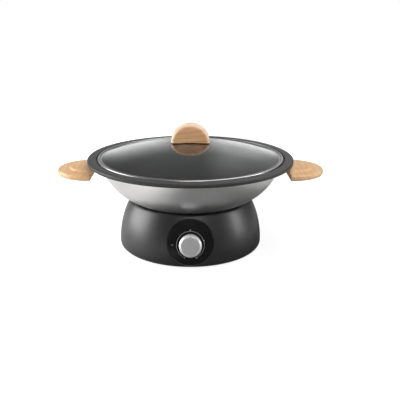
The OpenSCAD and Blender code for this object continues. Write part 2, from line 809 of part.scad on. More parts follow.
module gland_nut() color("#303034") on_back(gland_z) {
    translate([0, 0, -gland_wall - gland_nut_t]) difference() {
        cylinder(h = gland_nut_t, r = gland_flange_r, $fn = 6);
        translate([0, 0, -over])
            cylinder(h = gland_nut_t + 2 * over, r = gland_body_r + press_gap);
    }
}

// ---- Pan ----

module pan_outside() {
    root_deg = asin(root_z / pan_curve_r - 1);
    rotate_extrude() polygon(concat(
        [[0, 0]],
        arc(pan_flat_r, pan_curve_r, pan_curve_r, -90, root_deg, bowl_steps),
        [[recess_r + 1, root_z], [recess_r + 4, pan_h - rim_t],
         [rim_r - rim_lip_t, pan_h - rim_t], [rim_r - rim_lip_t, pan_h - rim_drop],
         [rim_r - 0.8, pan_h - rim_drop], [rim_r, pan_h - rim_drop + 0.8]],
        arc(rim_r - rim_edge_r, pan_h - rim_edge_r, rim_edge_r, 0, 90, edge_steps),
        [[0, pan_h]]
    ));
}
module pan_inside() {
    step_deg = asin((step_z - pan_curve_r) / pan_inner_r);
    rotate_extrude() polygon(concat(
        [[0, pan_wall]],
        arc(pan_flat_r, pan_curve_r, pan_inner_r, -90, step_deg, bowl_steps),
        [[recess_r, step_z], [recess_r, pan_h - 0.8], [recess_r + 0.8, pan_h],
         [recess_r + 0.8, pan_h + over], [0, pan_h + over]]
    ));
}
// Cast lug that runs out from the wall into the handle, with two tapped holes
module handle_lug(side) {
    from = pan_flat_r + lug_start;
    x0 = side > 0 ? from : -lug_end;
    translate([x0, -lug_w / 2, lug_z]) cube([lug_end - from, lug_w, lug_t]);
}
module wok_pan() color("#c3c4c6") translate([0, 0, pan_z]) {
    difference() {
        union() {
            pan_outside();
            handle_lug(1);
            handle_lug(-1);
        }
        pan_inside();
        for (x = [-handle_screw_x, handle_screw_x], y = [-handle_screw_y, handle_screw_y])
            translate([x, y, lug_z - over]) cylinder(h = lug_t + 2 * over, r = handle_screw_r);
    }
}

// ---- Handles ----

module handle_right() color("#d9a877") translate([0, 0, pan_z + handle_z]) {
    top = handle_t + handle_step;
    difference() {
        translate([handle_cx, 0, 0]) rotate_extrude($fn = 96) polygon(concat(
            [[0, 0]],
            arc(handle_r - handle_edge, handle_edge, handle_edge, -90, 0, edge_steps),
            arc(handle_r - handle_edge, handle_t - handle_edge, handle_edge, 0, 90, edge_steps),
            [[handle_pad_r + 1.5, handle_t]],
            arc(handle_pad_r - 2, top - 2, 2, 20, 90, 4),
            [[0, top]]
        ));
        translate([handle_chord - 2 * handle_r, -2 * handle_r, -over])
            cube([2 * handle_r, 4 * handle_r, top + 2 * over]);
        translate([handle_chord - over, -lug_w / 2 - fit_gap, lug_z - handle_z - fit_gap])
            cube([lug_end - handle_chord + over + fit_gap, lug_w + 2 * fit_gap, lug_t + 2 * fit_gap]);
        for (y = [-handle_screw_y, handle_screw_y]) translate([handle_screw_x, y, 0]) {
            translate([0, 0, -over])
                cylinder(h = over + head_sink + handle_screw_head_t, r = handle_screw_head_r + fit_gap);
            translate([0, 0, -over]) cylinder(h = top - 2, r = handle_screw_r + fit_gap);
        }
    }
}
module handle_left() mirror([1, 0, 0]) handle_right();
module handle_screws() color("#b9bbbe") translate([0, 0, pan_z + handle_z]) {
    for (x = [-handle_screw_x, handle_screw_x], y = [-handle_screw_y, handle_screw_y])
        translate([x, y, 0]) {
            translate([0, 0, head_sink])
                cylinder(h = handle_screw_head_t, r = handle_screw_head_r);
            translate([0, 0, head_sink + handle_screw_head_t])
                cylinder(h = handle_screw_len, r = handle_screw_r);
        }
}

// ---- Lid ----

module lid_glass() color("#5b6064", 0.5) translate([0, 0, lid_z]) {
    under_r = sqrt(pow(dome_R - glass_t, 2) - pow(band_t - dome_cz, 2));
    top_deg = acos(bend_r / dome_R);
    under_deg = acos(under_r / (dome_R - glass_t));
    rotate_extrude() polygon(concat(
        arc(0, dome_cz, dome_R, acos(lid_hole_r / dome_R), top_deg, dome_steps),
        [[glass_r, glass_top], [glass_r, band_t]],
        arc(0, dome_cz, dome_R - glass_t, under_deg, acos(lid_hole_r / (dome_R - glass_t)), dome_steps)
    ));
}
module lid_band() color("#d4d6d8") translate([0, 0, lid_z]) {
    inner = band_r - band_grip;
    rotate_extrude() polygon(concat(
        [[inner, 0], [band_r - band_t, 0], [band_r, band_t], [band_r, band_h - 1]],
        arc(band_r - 1, band_h - 1, 1, 15, 90, 4),
        [[inner + 1, band_h], [inner + 1, glass_top], [band_r - band_t, glass_top],
         [band_r - band_t, band_t], [inner, band_t]]
    ));
}
// Half of the knob's section through its edge, with both corners rounded
module knob_section() {
    translate([0, -knob_t / 2]) square([knob_r - knob_edge, knob_t]);
    translate([0, knob_edge - knob_t / 2]) square([knob_r, knob_t - 2 * knob_edge]);
    for (y = [-1, 1]) translate([knob_r - knob_edge, y * (knob_t / 2 - knob_edge)])
        circle(r = knob_edge);
}
module lid_knob() color("#c98f5c") translate([0, 0, knob_z]) {
    difference() {
        rotate([90, 0, 0]) rotate_extrude($fn = 96) knob_section();
        translate([-2 * knob_r, -knob_t, -2 * knob_r]) cube([4 * knob_r, 2 * knob_t, 2 * knob_r]);
        translate([0, knob_t, -dome_R]) rotate([90, 0, 0])
            cylinder(h = 2 * knob_t, r = dome_R + gasket_t + fit_gap, $fn = 720);
        translate([0, 0, -over]) cylinder(h = insert_h + gasket_t + over, r = insert_r);
    }
}
module knob_insert() color("#c9a54e") translate([0, 0, knob_z + gasket_t]) {
    tube(insert_r, knob_screw_r, insert_h);
}
module knob_gasket() color("#2a2a2c") translate([0, 0, knob_z]) {
    tube(gasket_r, knob_hole_r, gasket_t);
}
module knob_washer() color("silver") {
    translate([0, 0, washer_z]) tube(gasket_r, knob_hole_r, washer_t);
}
module knob_screw() color("#c4c6c9") {
    translate([0, 0, washer_z - screw_head_h])
        cylinder(h = screw_head_h, r = 2 * knob_screw_r);
    translate([0, 0, washer_z - over / 2])
        cylinder(h = glass_t + washer_t + insert_h - 3, r = knob_screw_r - press_gap);
}

base_housing();
seat_ring();
control_panel();
pilot_lens();
pilot_lamp();
thermostat_body();
thermostat_nut();
dial_knob();
dial_face();
dial_pointer();
thermostat_shaft();
sensor_bulb();
sensor_clip();
capillary_tube();
reflector_dish();
heating_element();
element_brackets();
reflector_screws();
thermal_fuse();
fuse_clip();
bottom_cover();
cover_screws();
rubber_feet();
terminal_block();
internal_leads();
cord_gland();
gland_nut();
wok_pan();
handle_left();
handle_right();
handle_screws();
lid_glass();
lid_band();
lid_knob();
knob_insert();
knob_gasket();
knob_washer();
knob_screw();
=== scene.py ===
"""Electric wok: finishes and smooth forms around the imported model.

Lengths in the shape functions are in millimetres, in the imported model's frame, and become metres
when a mesh is made. The base stands on z = 0, the dial faces -Y and the handles lie along X.
"""
import math

import bmesh
import bpy
import numpy as np
from bpy.props import FloatProperty, FloatVectorProperty, PointerProperty
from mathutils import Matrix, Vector


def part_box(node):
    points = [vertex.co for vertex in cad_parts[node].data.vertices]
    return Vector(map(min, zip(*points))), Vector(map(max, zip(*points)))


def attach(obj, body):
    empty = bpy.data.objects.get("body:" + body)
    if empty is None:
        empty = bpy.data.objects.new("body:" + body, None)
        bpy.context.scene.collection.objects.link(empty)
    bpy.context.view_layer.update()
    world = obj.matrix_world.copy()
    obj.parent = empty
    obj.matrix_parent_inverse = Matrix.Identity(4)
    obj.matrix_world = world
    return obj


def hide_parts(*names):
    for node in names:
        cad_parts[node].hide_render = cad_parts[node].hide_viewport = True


bl_info = {
    "name": "Electric wok",
    "version": (1, 0, 0),
    "blender": (4, 5, 0),
    "location": "View3D > Sidebar > Wok",
    "description": "Makes the looks of an electric wok around its packed model",
    "category": "Object",
}

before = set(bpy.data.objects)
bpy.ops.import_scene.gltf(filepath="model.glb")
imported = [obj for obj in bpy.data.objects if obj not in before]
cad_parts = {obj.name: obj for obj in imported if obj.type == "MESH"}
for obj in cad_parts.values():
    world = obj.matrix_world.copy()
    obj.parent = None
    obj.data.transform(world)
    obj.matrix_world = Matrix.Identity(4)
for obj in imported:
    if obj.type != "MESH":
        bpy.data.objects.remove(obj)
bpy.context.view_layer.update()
MM = 0.001
# Corners that round to the same place on a grid of this many steps per millimetre become one.
WELD_STEPS = 1e4
# Columns of the housing's skin, whose holes are windows between columns, and of other large rounds.
SKIN_STEPS = 240
ROUND_STEPS = 256
# Thickness of the control panel's disc, and so the depth of its recess.
PANEL_THICK = 2.5


def node_box(node):
    """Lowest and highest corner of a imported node, in millimetres."""
    low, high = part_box(node)
    return np.array(low) / MM, np.array(high) / MM


HOUSING_LOW, HOUSING_HIGH = node_box("base_housing")
PAN_LOW, PAN_HIGH = node_box("wok_pan")
BAND_LOW, BAND_HIGH = node_box("lid_band")
GLASS_LOW, GLASS_HIGH = node_box("lid_glass")
HANDLE_LOW, HANDLE_HIGH = node_box("handle_right")
RING_HIGH = node_box("seat_ring")[1]
KNOB_HIGH = node_box("lid_knob")[1]


# ---- Sizes and colours that a user may change ----


class WokBaseSettings(bpy.types.PropertyGroup):
    """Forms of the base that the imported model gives, and the finish of its skin."""

    side_curve: FloatProperty(
        name="Side curve", description="Radius of the curve of the housing's side",
        default=160 * MM, min=0.1, max=0.3, unit="LENGTH")
    shoulder: FloatProperty(
        name="Shoulder", description="Radius of the rounded top edge of the housing",
        default=4.5 * MM, min=0.002, max=0.008, unit="LENGTH")
    bottom_edge: FloatProperty(
        name="Bottom edge", description="Radius of the rounded bottom edge of the housing",
        default=8 * MM, min=0.004, max=0.01, unit="LENGTH")
    wall: FloatProperty(
        name="Wall", description="Thickness of the moulded wall",
        default=3 * MM, min=0.002, max=0.004, unit="LENGTH")
    colour: FloatVectorProperty(
        name="Moulding", description="Colour of the satin black moulding",
        default=(0.011, 0.011, 0.0118), size=3, min=0, max=1, subtype="COLOR")


class WokControlSettings(bpy.types.PropertyGroup):
    """Round panel, its printed scale and the dial."""

    panel_radius: FloatProperty(
        name="Panel radius", description="Radius of the round control panel",
        default=38 * MM, min=0.03, max=0.04, unit="LENGTH")
    panel_height: FloatProperty(
        name="Panel height", description="Height of the panel's middle over the table",
        default=44.5 * MM, min=0.04, max=0.05, unit="LENGTH")
    panel_tilt: FloatProperty(
        name="Panel tilt", description="How far the panel leans back",
        default=math.radians(13), min=0, max=0.4, subtype="ANGLE")
    dial_drop: FloatProperty(
        name="Dial drop", description="Distance of the dial's axis below the panel's middle",
        default=5 * MM, min=0, max=0.01, unit="LENGTH")
    dial_radius: FloatProperty(
        name="Dial radius", description="Radius of the dial",
        default=18.5 * MM, min=0.015, max=0.02, unit="LENGTH")
    dial_height: FloatProperty(
        name="Dial height", description="How far the dial stands out of the panel",
        default=15 * MM, min=0.01, max=0.018, unit="LENGTH")
    scale_radius: FloatProperty(
        name="Scale radius", description="Radius of the printed ring round the dial",
        default=22.8 * MM, min=0.02, max=0.03, unit="LENGTH")
    panel_colour: FloatVectorProperty(
        name="Panel", description="Colour of the glossy panel",
        default=(0.003, 0.003, 0.0037), size=3, min=0, max=1, subtype="COLOR")
    dial_colour: FloatVectorProperty(
        name="Dial metal", description="Colour of the dial's metal",
        default=(0.78, 0.78, 0.79), size=3, min=0, max=1, subtype="COLOR")
    print_colour: FloatVectorProperty(
        name="Print", description="Colour of the printed scale",
        default=(0.42, 0.42, 0.42), size=3, min=0, max=1, subtype="COLOR")


class WokPanSettings(bpy.types.PropertyGroup):
    """Cast pan with its two wooden handles."""

    flat: FloatProperty(
        name="Flat bottom", description="Radius of the pan's flat bottom",
        default=67 * MM, min=0.06, max=0.075, unit="LENGTH")
    curve: FloatProperty(
        name="Side curve", description="Radius of the curve from the bottom up to the rim",
        default=93 * MM, min=0.08, max=0.1, unit="LENGTH")
    wall: FloatProperty(
        name="Wall", description="Thickness of the cast wall",
        default=4 * MM, min=0.003, max=0.005, unit="LENGTH")
    rim_width: FloatProperty(
        name="Rim width", description="Width of the flat rim outside the lid's step",
        default=15 * MM, min=0.012, max=0.02, unit="LENGTH")
    pad_radius: FloatProperty(
        name="Handle pad", description="Radius of the raised middle of each handle",
        default=38 * MM, min=0.03, max=0.045, unit="LENGTH")
    outside_colour: FloatVectorProperty(
        name="Outside", description="Colour of the satin cast outside",
        default=(0.70, 0.695, 0.69), size=3, min=0, max=1, subtype="COLOR")
    coating_colour: FloatVectorProperty(
        name="Coating", description="Colour of the dark non-stick coating",
        default=(0.040, 0.0395, 0.0385), size=3, min=0, max=1, subtype="COLOR")
    handle_colour: FloatVectorProperty(
        name="Handle wood", description="Pale colour of the handles' wood",
        default=(0.76, 0.50, 0.27), size=3, min=0, max=1, subtype="COLOR")


class WokLidSettings(bpy.types.PropertyGroup):
    """Glass lid with its steel band and wooden knob."""

    glass: FloatProperty(
        name="Glass", description="Thickness of the glass",
        default=3.2 * MM, min=0.002, max=0.005, unit="LENGTH")
    knob_edge: FloatProperty(
        name="Knob edge", description="Rounding of the knob's edges",
        default=6.5 * MM, min=0.002, max=0.008, unit="LENGTH")
    knob_colour: FloatVectorProperty(
        name="Knob wood", description="Colour of the knob's wood",
        default=(0.88, 0.56, 0.31), size=3, min=0, max=1, subtype="COLOR")
    glass_colour: FloatVectorProperty(
        name="Glass tint", description="Tint of the toughened glass",
        default=(0.93, 0.95, 0.95), size=3, min=0, max=1, subtype="COLOR")


class WokStudioSettings(bpy.types.PropertyGroup):
    """Camera and light."""

    distance: FloatProperty(
        name="Distance", description="Distance of the camera from the middle of the wok",
        default=1.06636, min=0.5, max=3, unit="LENGTH")
    elevation: FloatProperty(
        name="Elevation", description="Angle of the camera above the horizontal",
        default=0.2932, min=0, max=1.5, subtype="ANGLE")
    lens: FloatProperty(
        name="Lens", description="Focal length of the camera in millimetres",
        default=53.48, min=20, max=200)
    soft_light: FloatProperty(
        name="Soft light", description="Strength of the even light from all round",
        default=0.22, min=0, max=2)


# ---- Meshes ----


class Sheet:
    """A grid of points, shape (rows, columns, 3), as faces that take one finish. The last row of a
    closed grid joins its first. left_out marks the faces that are not made."""

    def __init__(self, points, finish=0, closed=False, left_out=None):
        points = np.asarray(points, float)
        if closed:
            points = np.concatenate([points, points[:1]])
        faces = np.stack([points[:-1, :-1], points[1:, :-1], points[1:, 1:], points[:-1, 1:]], 2)
        if left_out is not None:
            faces = faces[~left_out]
        self.faces = faces.reshape(-1, 4, 3)
        self.finishes = np.full(len(self.faces), finish)


def smooth(mesh, crease):
    """Shades a mesh smooth, with sharp edges where faces meet at more than the crease angle."""
    mesh.polygons.foreach_set("use_smooth", np.ones(len(mesh.polygons), bool))
    mesh.set_sharp_from_angle(angle=math.radians(crease))


def turn_out(mesh, fill=False):
    """Turns all faces outwards. With fill, one flat face first closes the mesh's open outline."""
    shape = bmesh.new()
    shape.from_mesh(mesh)
    if fill:
        bmesh.ops.contextual_create(shape, geom=[e for e in shape.edges if e.is_boundary])
    bmesh.ops.recalc_face_normals(shape, faces=shape.faces)
    shape.to_mesh(mesh)
    shape.free()


def welded(name, faces, finishes, crease):
    """Object at the origin from faces with four corners each, in millimetres. Corners that coincide
    become one point, which closes seams and poles; a face that has lost corners by that becomes a
    triangle or is dropped."""
    corners = faces.reshape(-1, 3)
    _, first, index = np.unique(np.round(corners * WELD_STEPS).astype(np.int64), axis=0,
                                return_index=True, return_inverse=True)
    index = index.reshape(-1, 4)
    kept = index != np.roll(index, -1, axis=1)
    sides = kept.sum(1)
    whole = (sides >= 3) & (index[:, 0] != index[:, 2]) & (index[:, 1] != index[:, 3])
    loops = index[whole][kept[whole]]
    starts = np.concatenate([[0], np.cumsum(sides[whole])[:-1]])
    mesh = bpy.data.meshes.new(name)
    mesh.vertices.add(len(first))
    mesh.vertices.foreach_set("co", (corners[first] * MM).astype(np.float32).ravel())
    mesh.loops.add(len(loops))
    mesh.loops.foreach_set("vertex_index", loops.astype(np.int32))
    mesh.polygons.add(len(starts))
    mesh.polygons.foreach_set("loop_start", starts.astype(np.int32))
    mesh.polygons.foreach_set("material_index", finishes[whole].astype(np.int32))
    mesh.update(calc_edges=True)
    mesh.validate()
    turn_out(mesh)
    smooth(mesh, crease)
    piece = bpy.data.objects.new(name, mesh)
    bpy.context.scene.collection.objects.link(piece)
    return piece


def join_sheets(name, sheets, crease=32):
    """One object from several sheets."""
    return welded(name, np.concatenate([s.faces for s in sheets]),
                  np.concatenate([s.finishes for s in sheets]), crease)


def arc(x, z, radius, start, end, steps):
    """Points of an arc about (x, z), from one angle to another in degrees."""
    angle = np.radians(np.linspace(start, end, steps + 1))
    return np.stack([x + radius * np.cos(angle), z + radius * np.sin(angle)], -1)


def rounded(corners, steps=4):
    """Profile through corners (x, z, radius): each corner is replaced by the arc of that radius
    that touches both of its sides."""
    corners = [np.array(c, float) for c in corners]
    out = [corners[0][:2]]
    for before, here, after in zip(corners, corners[1:], corners[2:]):
        radius = here[2]
        if radius <= 0:
            out.append(here[:2])
            continue
        back = before[:2] - here[:2]
        ahead = after[:2] - here[:2]
        reach_back, reach_ahead = np.linalg.norm(back), np.linalg.norm(ahead)
        back, ahead = back / reach_back, ahead / reach_ahead
        half = math.acos(np.clip(back @ ahead, -1, 1)) / 2
        if half > math.pi / 2 - 0.01:
            out.append(here[:2])
            continue
        run = min(radius / math.tan(half), 0.49 * reach_back, 0.49 * reach_ahead)
        radius = run * math.tan(half)
        halfway = (back + ahead) / np.linalg.norm(back + ahead)
        middle = here[:2] + halfway * radius / math.sin(half)
        first = here[:2] + back * run - middle
        last = here[:2] + ahead * run - middle
        turn = math.pi - 2 * half
        share = np.linspace(0, 1, steps + 1)[:, None]
        out.extend(middle + (np.sin((1 - share) * turn) * first + np.sin(share * turn) * last)
                   / math.sin(turn))
    out.append(corners[-1][:2])
    return np.array(out)


def chain(*pieces):
    """Profiles joined end to end."""
    return np.vstack([np.asarray(p, float).reshape(-1, 2) for p in pieces])


def lathe(profile, steps):
    """Surface of revolution: each (radius, height) of the profile carried round the Z axis."""
    angle = np.linspace(0, 2 * np.pi, steps, endpoint=False)[:, None]
    radius, height = np.asarray(profile, float).T[:, None]
    return np.stack([radius * np.cos(angle), radius * np.sin(angle), height + 0 * angle], -1)


def placed(points, origin, x_axis, y_axis, z_axis):
    """Points moved from a local frame, given by its origin and axes, to the model's frame."""
    return np.asarray(points, float) @ np.array([x_axis, y_axis, z_axis], float) + np.array(origin)


def turned(profile, steps, axes=None, finish=0):
    """Closed sheet of a profile carried round the Z axis, of the model or of a local frame."""
    grid = lathe(profile, steps)
    return Sheet(grid if axes is None else placed(grid, *axes), finish, closed=True)


def finish_piece(piece, body, finishes, replaces=()):
    """Gives a piece its finishes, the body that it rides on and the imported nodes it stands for."""
    for finish in finishes:
        piece.data.materials.append(finish)
    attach(piece, body)
    if replaces:
        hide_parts(*replaces)


def smooth_copies(body, finish, *nodes):
    """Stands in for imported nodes: their triangles, welded and shaded smooth."""
    for node in nodes:
        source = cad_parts[node].data
        points = np.zeros(len(source.vertices) * 3, np.float32)
        source.vertices.foreach_get("co", points)
        corners = np.zeros(len(source.loops), np.int32)
        source.loops.foreach_get("vertex_index", corners)
        triangles = points.reshape(-1, 3).astype(float)[corners].reshape(-1, 3, 3) / MM
        piece = welded("smooth_" + node, triangles[:, [0, 1, 2, 2]], np.zeros(len(triangles)), 30)
        finish_piece(piece, body, [finish], (node,))


def cut(piece, cutters):
    """Cuts closed pieces out of a piece, keeps the result as its mesh and deletes the cutters."""
    for cutter in cutters:
        step = piece.modifiers.new("cut", "BOOLEAN")
        step.operation = "DIFFERENCE"
        step.solver = "EXACT"
        step.object = cutter
    bpy.context.view_layer.update()
    result = bpy.data.meshes.new_from_object(
        piece.evaluated_get(bpy.context.evaluated_depsgraph_get()))
    piece.modifiers.clear()
    piece.data = result
    for cutter in cutters:
        bpy.data.objects.remove(cutter)
    smooth(result, 32)


def soften(piece, width, segments=3, angle=50):
    """Rounds the edges where the piece's faces meet at more than the angle in degrees."""
    bevel = piece.modifiers.new("edge", "BEVEL")
    bevel.width = width * MM
    bevel.segments = segments
    bevel.limit_method = "ANGLE"
    bevel.angle_limit = math.radians(angle)
    bevel.harden_normals = False


def block(low, high, edge):
    """Sheet of a box from its lowest to its highest corner with its vertical edges rounded."""
    low, high = np.array(low, float), np.array(high, float)
    outline = chain(arc(high[0] - edge, high[1] - edge, edge, 0, 90, 4),
                    arc(low[0] + edge, high[1] - edge, edge, 90, 180, 4),
                    arc(low[0] + edge, low[1] + edge, edge, 180, 270, 4),
                    arc(high[0] - edge, low[1] + edge, edge, 270, 360, 4))
    middle = (low[:2] + high[:2]) / 2
    rings = [(0, low[2]), (1, low[2]), (1, high[2]), (0, high[2])]
    grid = [np.column_stack([middle + share * (outline - middle), np.full(len(outline), height)])
            for share, height in rings]
    return Sheet(np.array(grid).transpose(1, 0, 2), closed=True)


# ---- Finishes ----


class Value:
    """A socket of a node tree. Python's arithmetic on it adds the Math nodes that work it out."""

    def __init__(self, nodes, socket):
        self.nodes, self.socket = nodes, socket

    def __add__(self, other):
        return self.nodes.maths("ADD", self, other)

    def __sub__(self, other):
        return self.nodes.maths("SUBTRACT", self, other)

    def __rsub__(self, other):
        return self.nodes.maths("SUBTRACT", other, self)

    def __mul__(self, other):
        return self.nodes.maths("MULTIPLY", self, other)

    __radd__, __rmul__ = __add__, __mul__

    def __pow__(self, other):
        return self.nodes.maths("POWER", self, other)

    def __neg__(self):
        return self * -1.0

    def __abs__(self):
        return self.nodes.maths("ABSOLUTE", self)

    def sine(self):
        return self.nodes.maths("SINE", self)

    def below(self, limit):
        """1 below the limit, else 0."""
        return self.nodes.maths("LESS_THAN", self, limit)

    def above(self, low, high):
        """0 below low, 1 above high, with a smooth rise between."""
        return self.nodes.node(
            "ShaderNodeMapRange", {"interpolation_type": "SMOOTHSTEP"},
            {"Value": self, "From Min": low, "From Max": high, "To Min": 0.0, "To Max": 1.0})


class Nodes:
    """A node tree under construction."""

    def __init__(self, tree):
        self.tree = tree

    def node(self, kind, settings, values, output=0):
        """Adds a node with its settings, then sets or links its sockets, and returns an output."""
        made = self.tree.nodes.new(kind)
        for key, value in settings.items():
            setattr(made, key, value)
        for key, value in values.items():
            self.put(made.inputs[key], value)
        return Value(self, made.outputs[output])

    def put(self, socket, value):
        """Links a socket to a value, or sets it to a number, vector or colour."""
        if isinstance(value, Value):
            self.tree.links.new(value.socket, socket)
        elif socket.type == "RGBA":
            socket.default_value = (*value, 1.0)
        else:
            socket.default_value = value

    def maths(self, operation, *values):
        """Adds a Math node."""
        return self.node("ShaderNodeMath", {"operation": operation}, dict(enumerate(values)))

    def ray(self, output):
        """One output of Light Path, which tells what kind of ray sees the surface."""
        return self.node("ShaderNodeLightPath", {}, {}, output)

    def in_plain_view(self):
        """1 for what the camera sees directly or through glass alone."""
        through = (self.ray("Is Transmission Ray") * self.ray("Diffuse Depth").below(0.5)
                   * self.ray("Glossy Depth").below(0.5))
        return self.maths("MAXIMUM", through, self.ray("Is Camera Ray"))

    def place(self):
        """Position on the object, in metres."""
        return self.node("ShaderNodeTexCoord", {}, {}, "Object")

    def axes(self, vector=None):
        """The three parts of a vector, which is the position unless another is given."""
        split = self.node("ShaderNodeSeparateXYZ", {}, {0: vector or self.place()})
        return [Value(self, split.socket.node.outputs[i]) for i in range(3)]

    def vector(self, x, y, z):
        """The vector of three parts."""
        return self.node("ShaderNodeCombineXYZ", {}, {0: x, 1: y, 2: z})

    def moved(self, vector, location=(0, 0, 0), rotation=(0, 0, 0), scale=(1, 1, 1)):
        """A vector seen from a frame that is moved, turned and scaled like a texture."""
        return self.node("ShaderNodeMapping", {"vector_type": "TEXTURE"},
                         {"Vector": vector, "Location": location, "Rotation": rotation,
                          "Scale": scale})

    def noise(self, vector, scale, detail=3.0, roughness=0.5, distortion=0.0):
        """Smooth noise from 0 to 1, whose lumps are about 1 / scale long."""
        return self.node("ShaderNodeTexNoise", {},
                         {"Vector": vector, "Scale": scale, "Detail": detail,
                          "Roughness": roughness, "Distortion": distortion})

    def mix(self, factor, first, second):
        """Mixes two colours."""
        return self.node("ShaderNodeMix", {"data_type": "RGBA"},
                         {"Factor": factor, 6: first, 7: second}, 2)

    def grey(self, level):
        """Grey of a level."""
        return self.mix(level, (0, 0, 0), (1, 1, 1))

    def round_axis(self, vector=None):
        """Distance from the Z axis, angle round it and height."""
        x, y, z = self.axes(vector)
        return (x * x + y * y) ** 0.5, self.maths("ARCTAN2", y, x), z


class Finish(Nodes):
    """A surface finish under construction."""

    def __init__(self, name, **settings):
        self.material = bpy.data.materials.new(name)
        self.material.use_nodes = True
        super().__init__(self.material.node_tree)
        self.shader = next(n for n in self.tree.nodes if n.type == "BSDF_PRINCIPLED")
        for key, value in settings.items():
            self.set(key.replace("_", " ").title().replace("Ior", "IOR"), value)

    def set(self, socket, value):
        """Sets or links one socket of the surface shader."""
        self.put(self.shader.inputs[socket], value)

    def bump(self, height, distance, strength):
        """Turns a height from 0 to 1 into the surface's normal; distance is in millimetres."""
        self.set("Normal", self.node("ShaderNodeBump", {}, {
            "Height": height, "Distance": distance * MM, "Strength": strength}))

    def grained(self, grain, dark, pale, rough, uneven, bump=None):
        """Lets one noise draw the finish: its colour from dark to pale, its roughness from rough
        upwards by uneven, and its bump by (distance, strength)."""
        self.set("Base Color", self.mix(grain, dark, pale))
        self.set("Roughness", rough + uneven * grain)
        if bump:
            self.bump(grain, *bump)
        return self


FINISHES = {}


def finish(maker):
    """Makes each finish once for the same values."""
    def made(*values):
        key = (maker.__name__, tuple(tuple(v) if hasattr(v, "__len__") else v for v in values))
        if key not in FINISHES:
            FINISHES[key] = maker(*values).material
        return FINISHES[key]
    return made


def shade(colour, factor):
    """A colour made darker or lighter by a factor, at most 1."""
    return tuple(min(1.0, c * factor) for c in colour)


@finish
def satin_moulding(colour):
    """Spark-eroded black moulding: a fine even grain, slightly uneven sheen."""
    f = Finish("satin_moulding", specular_ior_level=0.62)
    at = f.place()
    cloud = f.noise(at, 18, 2)
    grain = f.noise(at, 1600, 2, 0.6)
    f.set("Base Color", f.mix(cloud.above(0.3, 0.7), shade(colour, 0.85), shade(colour, 1.12)))
    f.set("Roughness", 0.33 + 0.05 * cloud + 0.05 * grain)
    f.bump(grain, 0.02, 0.5)
    return f


@finish
def heat_moulding():
    """Matt black heat-resistant moulding with a coarse grain."""
    f = Finish("heat_moulding")
    return f.grained(f.noise(f.place(), 1100, 3, 0.6), (0.010, 0.010, 0.011),
                     (0.022, 0.022, 0.023), 0.52, 0.15, (0.04, 0.6))


@finish
def gloss_panel(colour):
    """Glossy black panel with faint fine polishing marks."""
    f = Finish("gloss_panel", specular_ior_level=0.4)
    at = f.place()
    haze = f.noise(at, 60, 3)
    f.set("Base Color", f.mix(haze, shade(colour, 0.8), shade(colour, 1.3)))
    f.set("Roughness", 0.14 + 0.12 * haze.above(0.35, 0.75))
    f.bump(f.noise(at, 350, 2), 0.01, 0.3)
    return f


@finish
def dial_polished(colour):
    """Silvered bevel and side of the dial, with fine turning lines."""
    f = Finish("dial_polished", metallic=0.55)
    lines = f.noise(f.moved(f.place(), scale=(1, 0.05, 1)), 900, 2)
    return f.grained(lines, colour, shade(colour, 1.2), 0.38, 0.12, (0.01, 0.4))


@finish
def dial_brushed(colour, middle, tilt):
    """Dial face with fine brushing in circles about the dial's axis."""
    f = Finish("dial_brushed", metallic=1.0)
    at = f.moved(f.place(), location=[c * MM for c in middle],
                 rotation=(math.pi / 2 - tilt, 0, 0))
    radius, angle, _ = f.round_axis(at)
    rings = f.noise(f.vector(radius * 5200, angle * 1.2, 0.0), 1, 2, 0.7)
    sheen = f.noise(f.vector(radius * 90, angle * 0.8, 3.0), 1, 2)
    fleck = f.noise(f.place(), 2600, 2, 0.7)
    f.set("Base Color", f.mix(0.6 * rings + 0.4 * fleck, shade(colour, 0.76),
                              shade(colour, 1.05)))
    f.set("Roughness", 0.36 + 0.10 * rings + 0.06 * sheen)
    f.bump(rings, 0.012, 0.5)
    return f


@finish
def printed(colour):
    """Screen-printed ink, slightly uneven."""
    f = Finish("printed_ink")
    return f.grained(f.noise(f.place(), 2400, 2), shade(colour, 0.8), shade(colour, 1.15),
                     0.45, 0.15)


@finish
def cast_outside(colour):
    """Satin cast aluminium, spun smooth: faint rings round the axis over a soft cloud."""
    f = Finish("cast_outside", metallic=1.0)
    radius, angle, height = f.round_axis()
    rings = f.noise(f.vector(height * 900, angle * 0.6, radius * 60), 1, 3, 0.65)
    cloud = f.noise(f.place(), 12, 2)
    f.set("Base Color", f.mix(0.5 * rings + 0.5 * cloud, shade(colour, 0.93),
                              shade(colour, 1.05)))
    f.set("Roughness", 0.30 + 0.07 * rings + 0.05 * cloud)
    f.bump(rings, 0.012, 0.35)
    return f


@finish
def nonstick(colour):
    """Dark non-stick coating with a fine metallic fleck and slightly pebbled surface."""
    f = Finish("nonstick_coating", specular_ior_level=0.28)
    at = f.place()
    pebble = f.noise(at, 700, 2, 0.6)
    fleck = f.noise(at, 3800, 1).above(0.66, 0.74)
    pebbled = f.mix(pebble, shade(colour, 0.85), shade(colour, 1.15))
    f.set("Base Color", f.mix(fleck, pebbled, shade(colour, 2.4)))
    f.set("Roughness", 0.40 + 0.12 * pebble)
    f.bump(pebble, 0.03, 0.35)
    return f


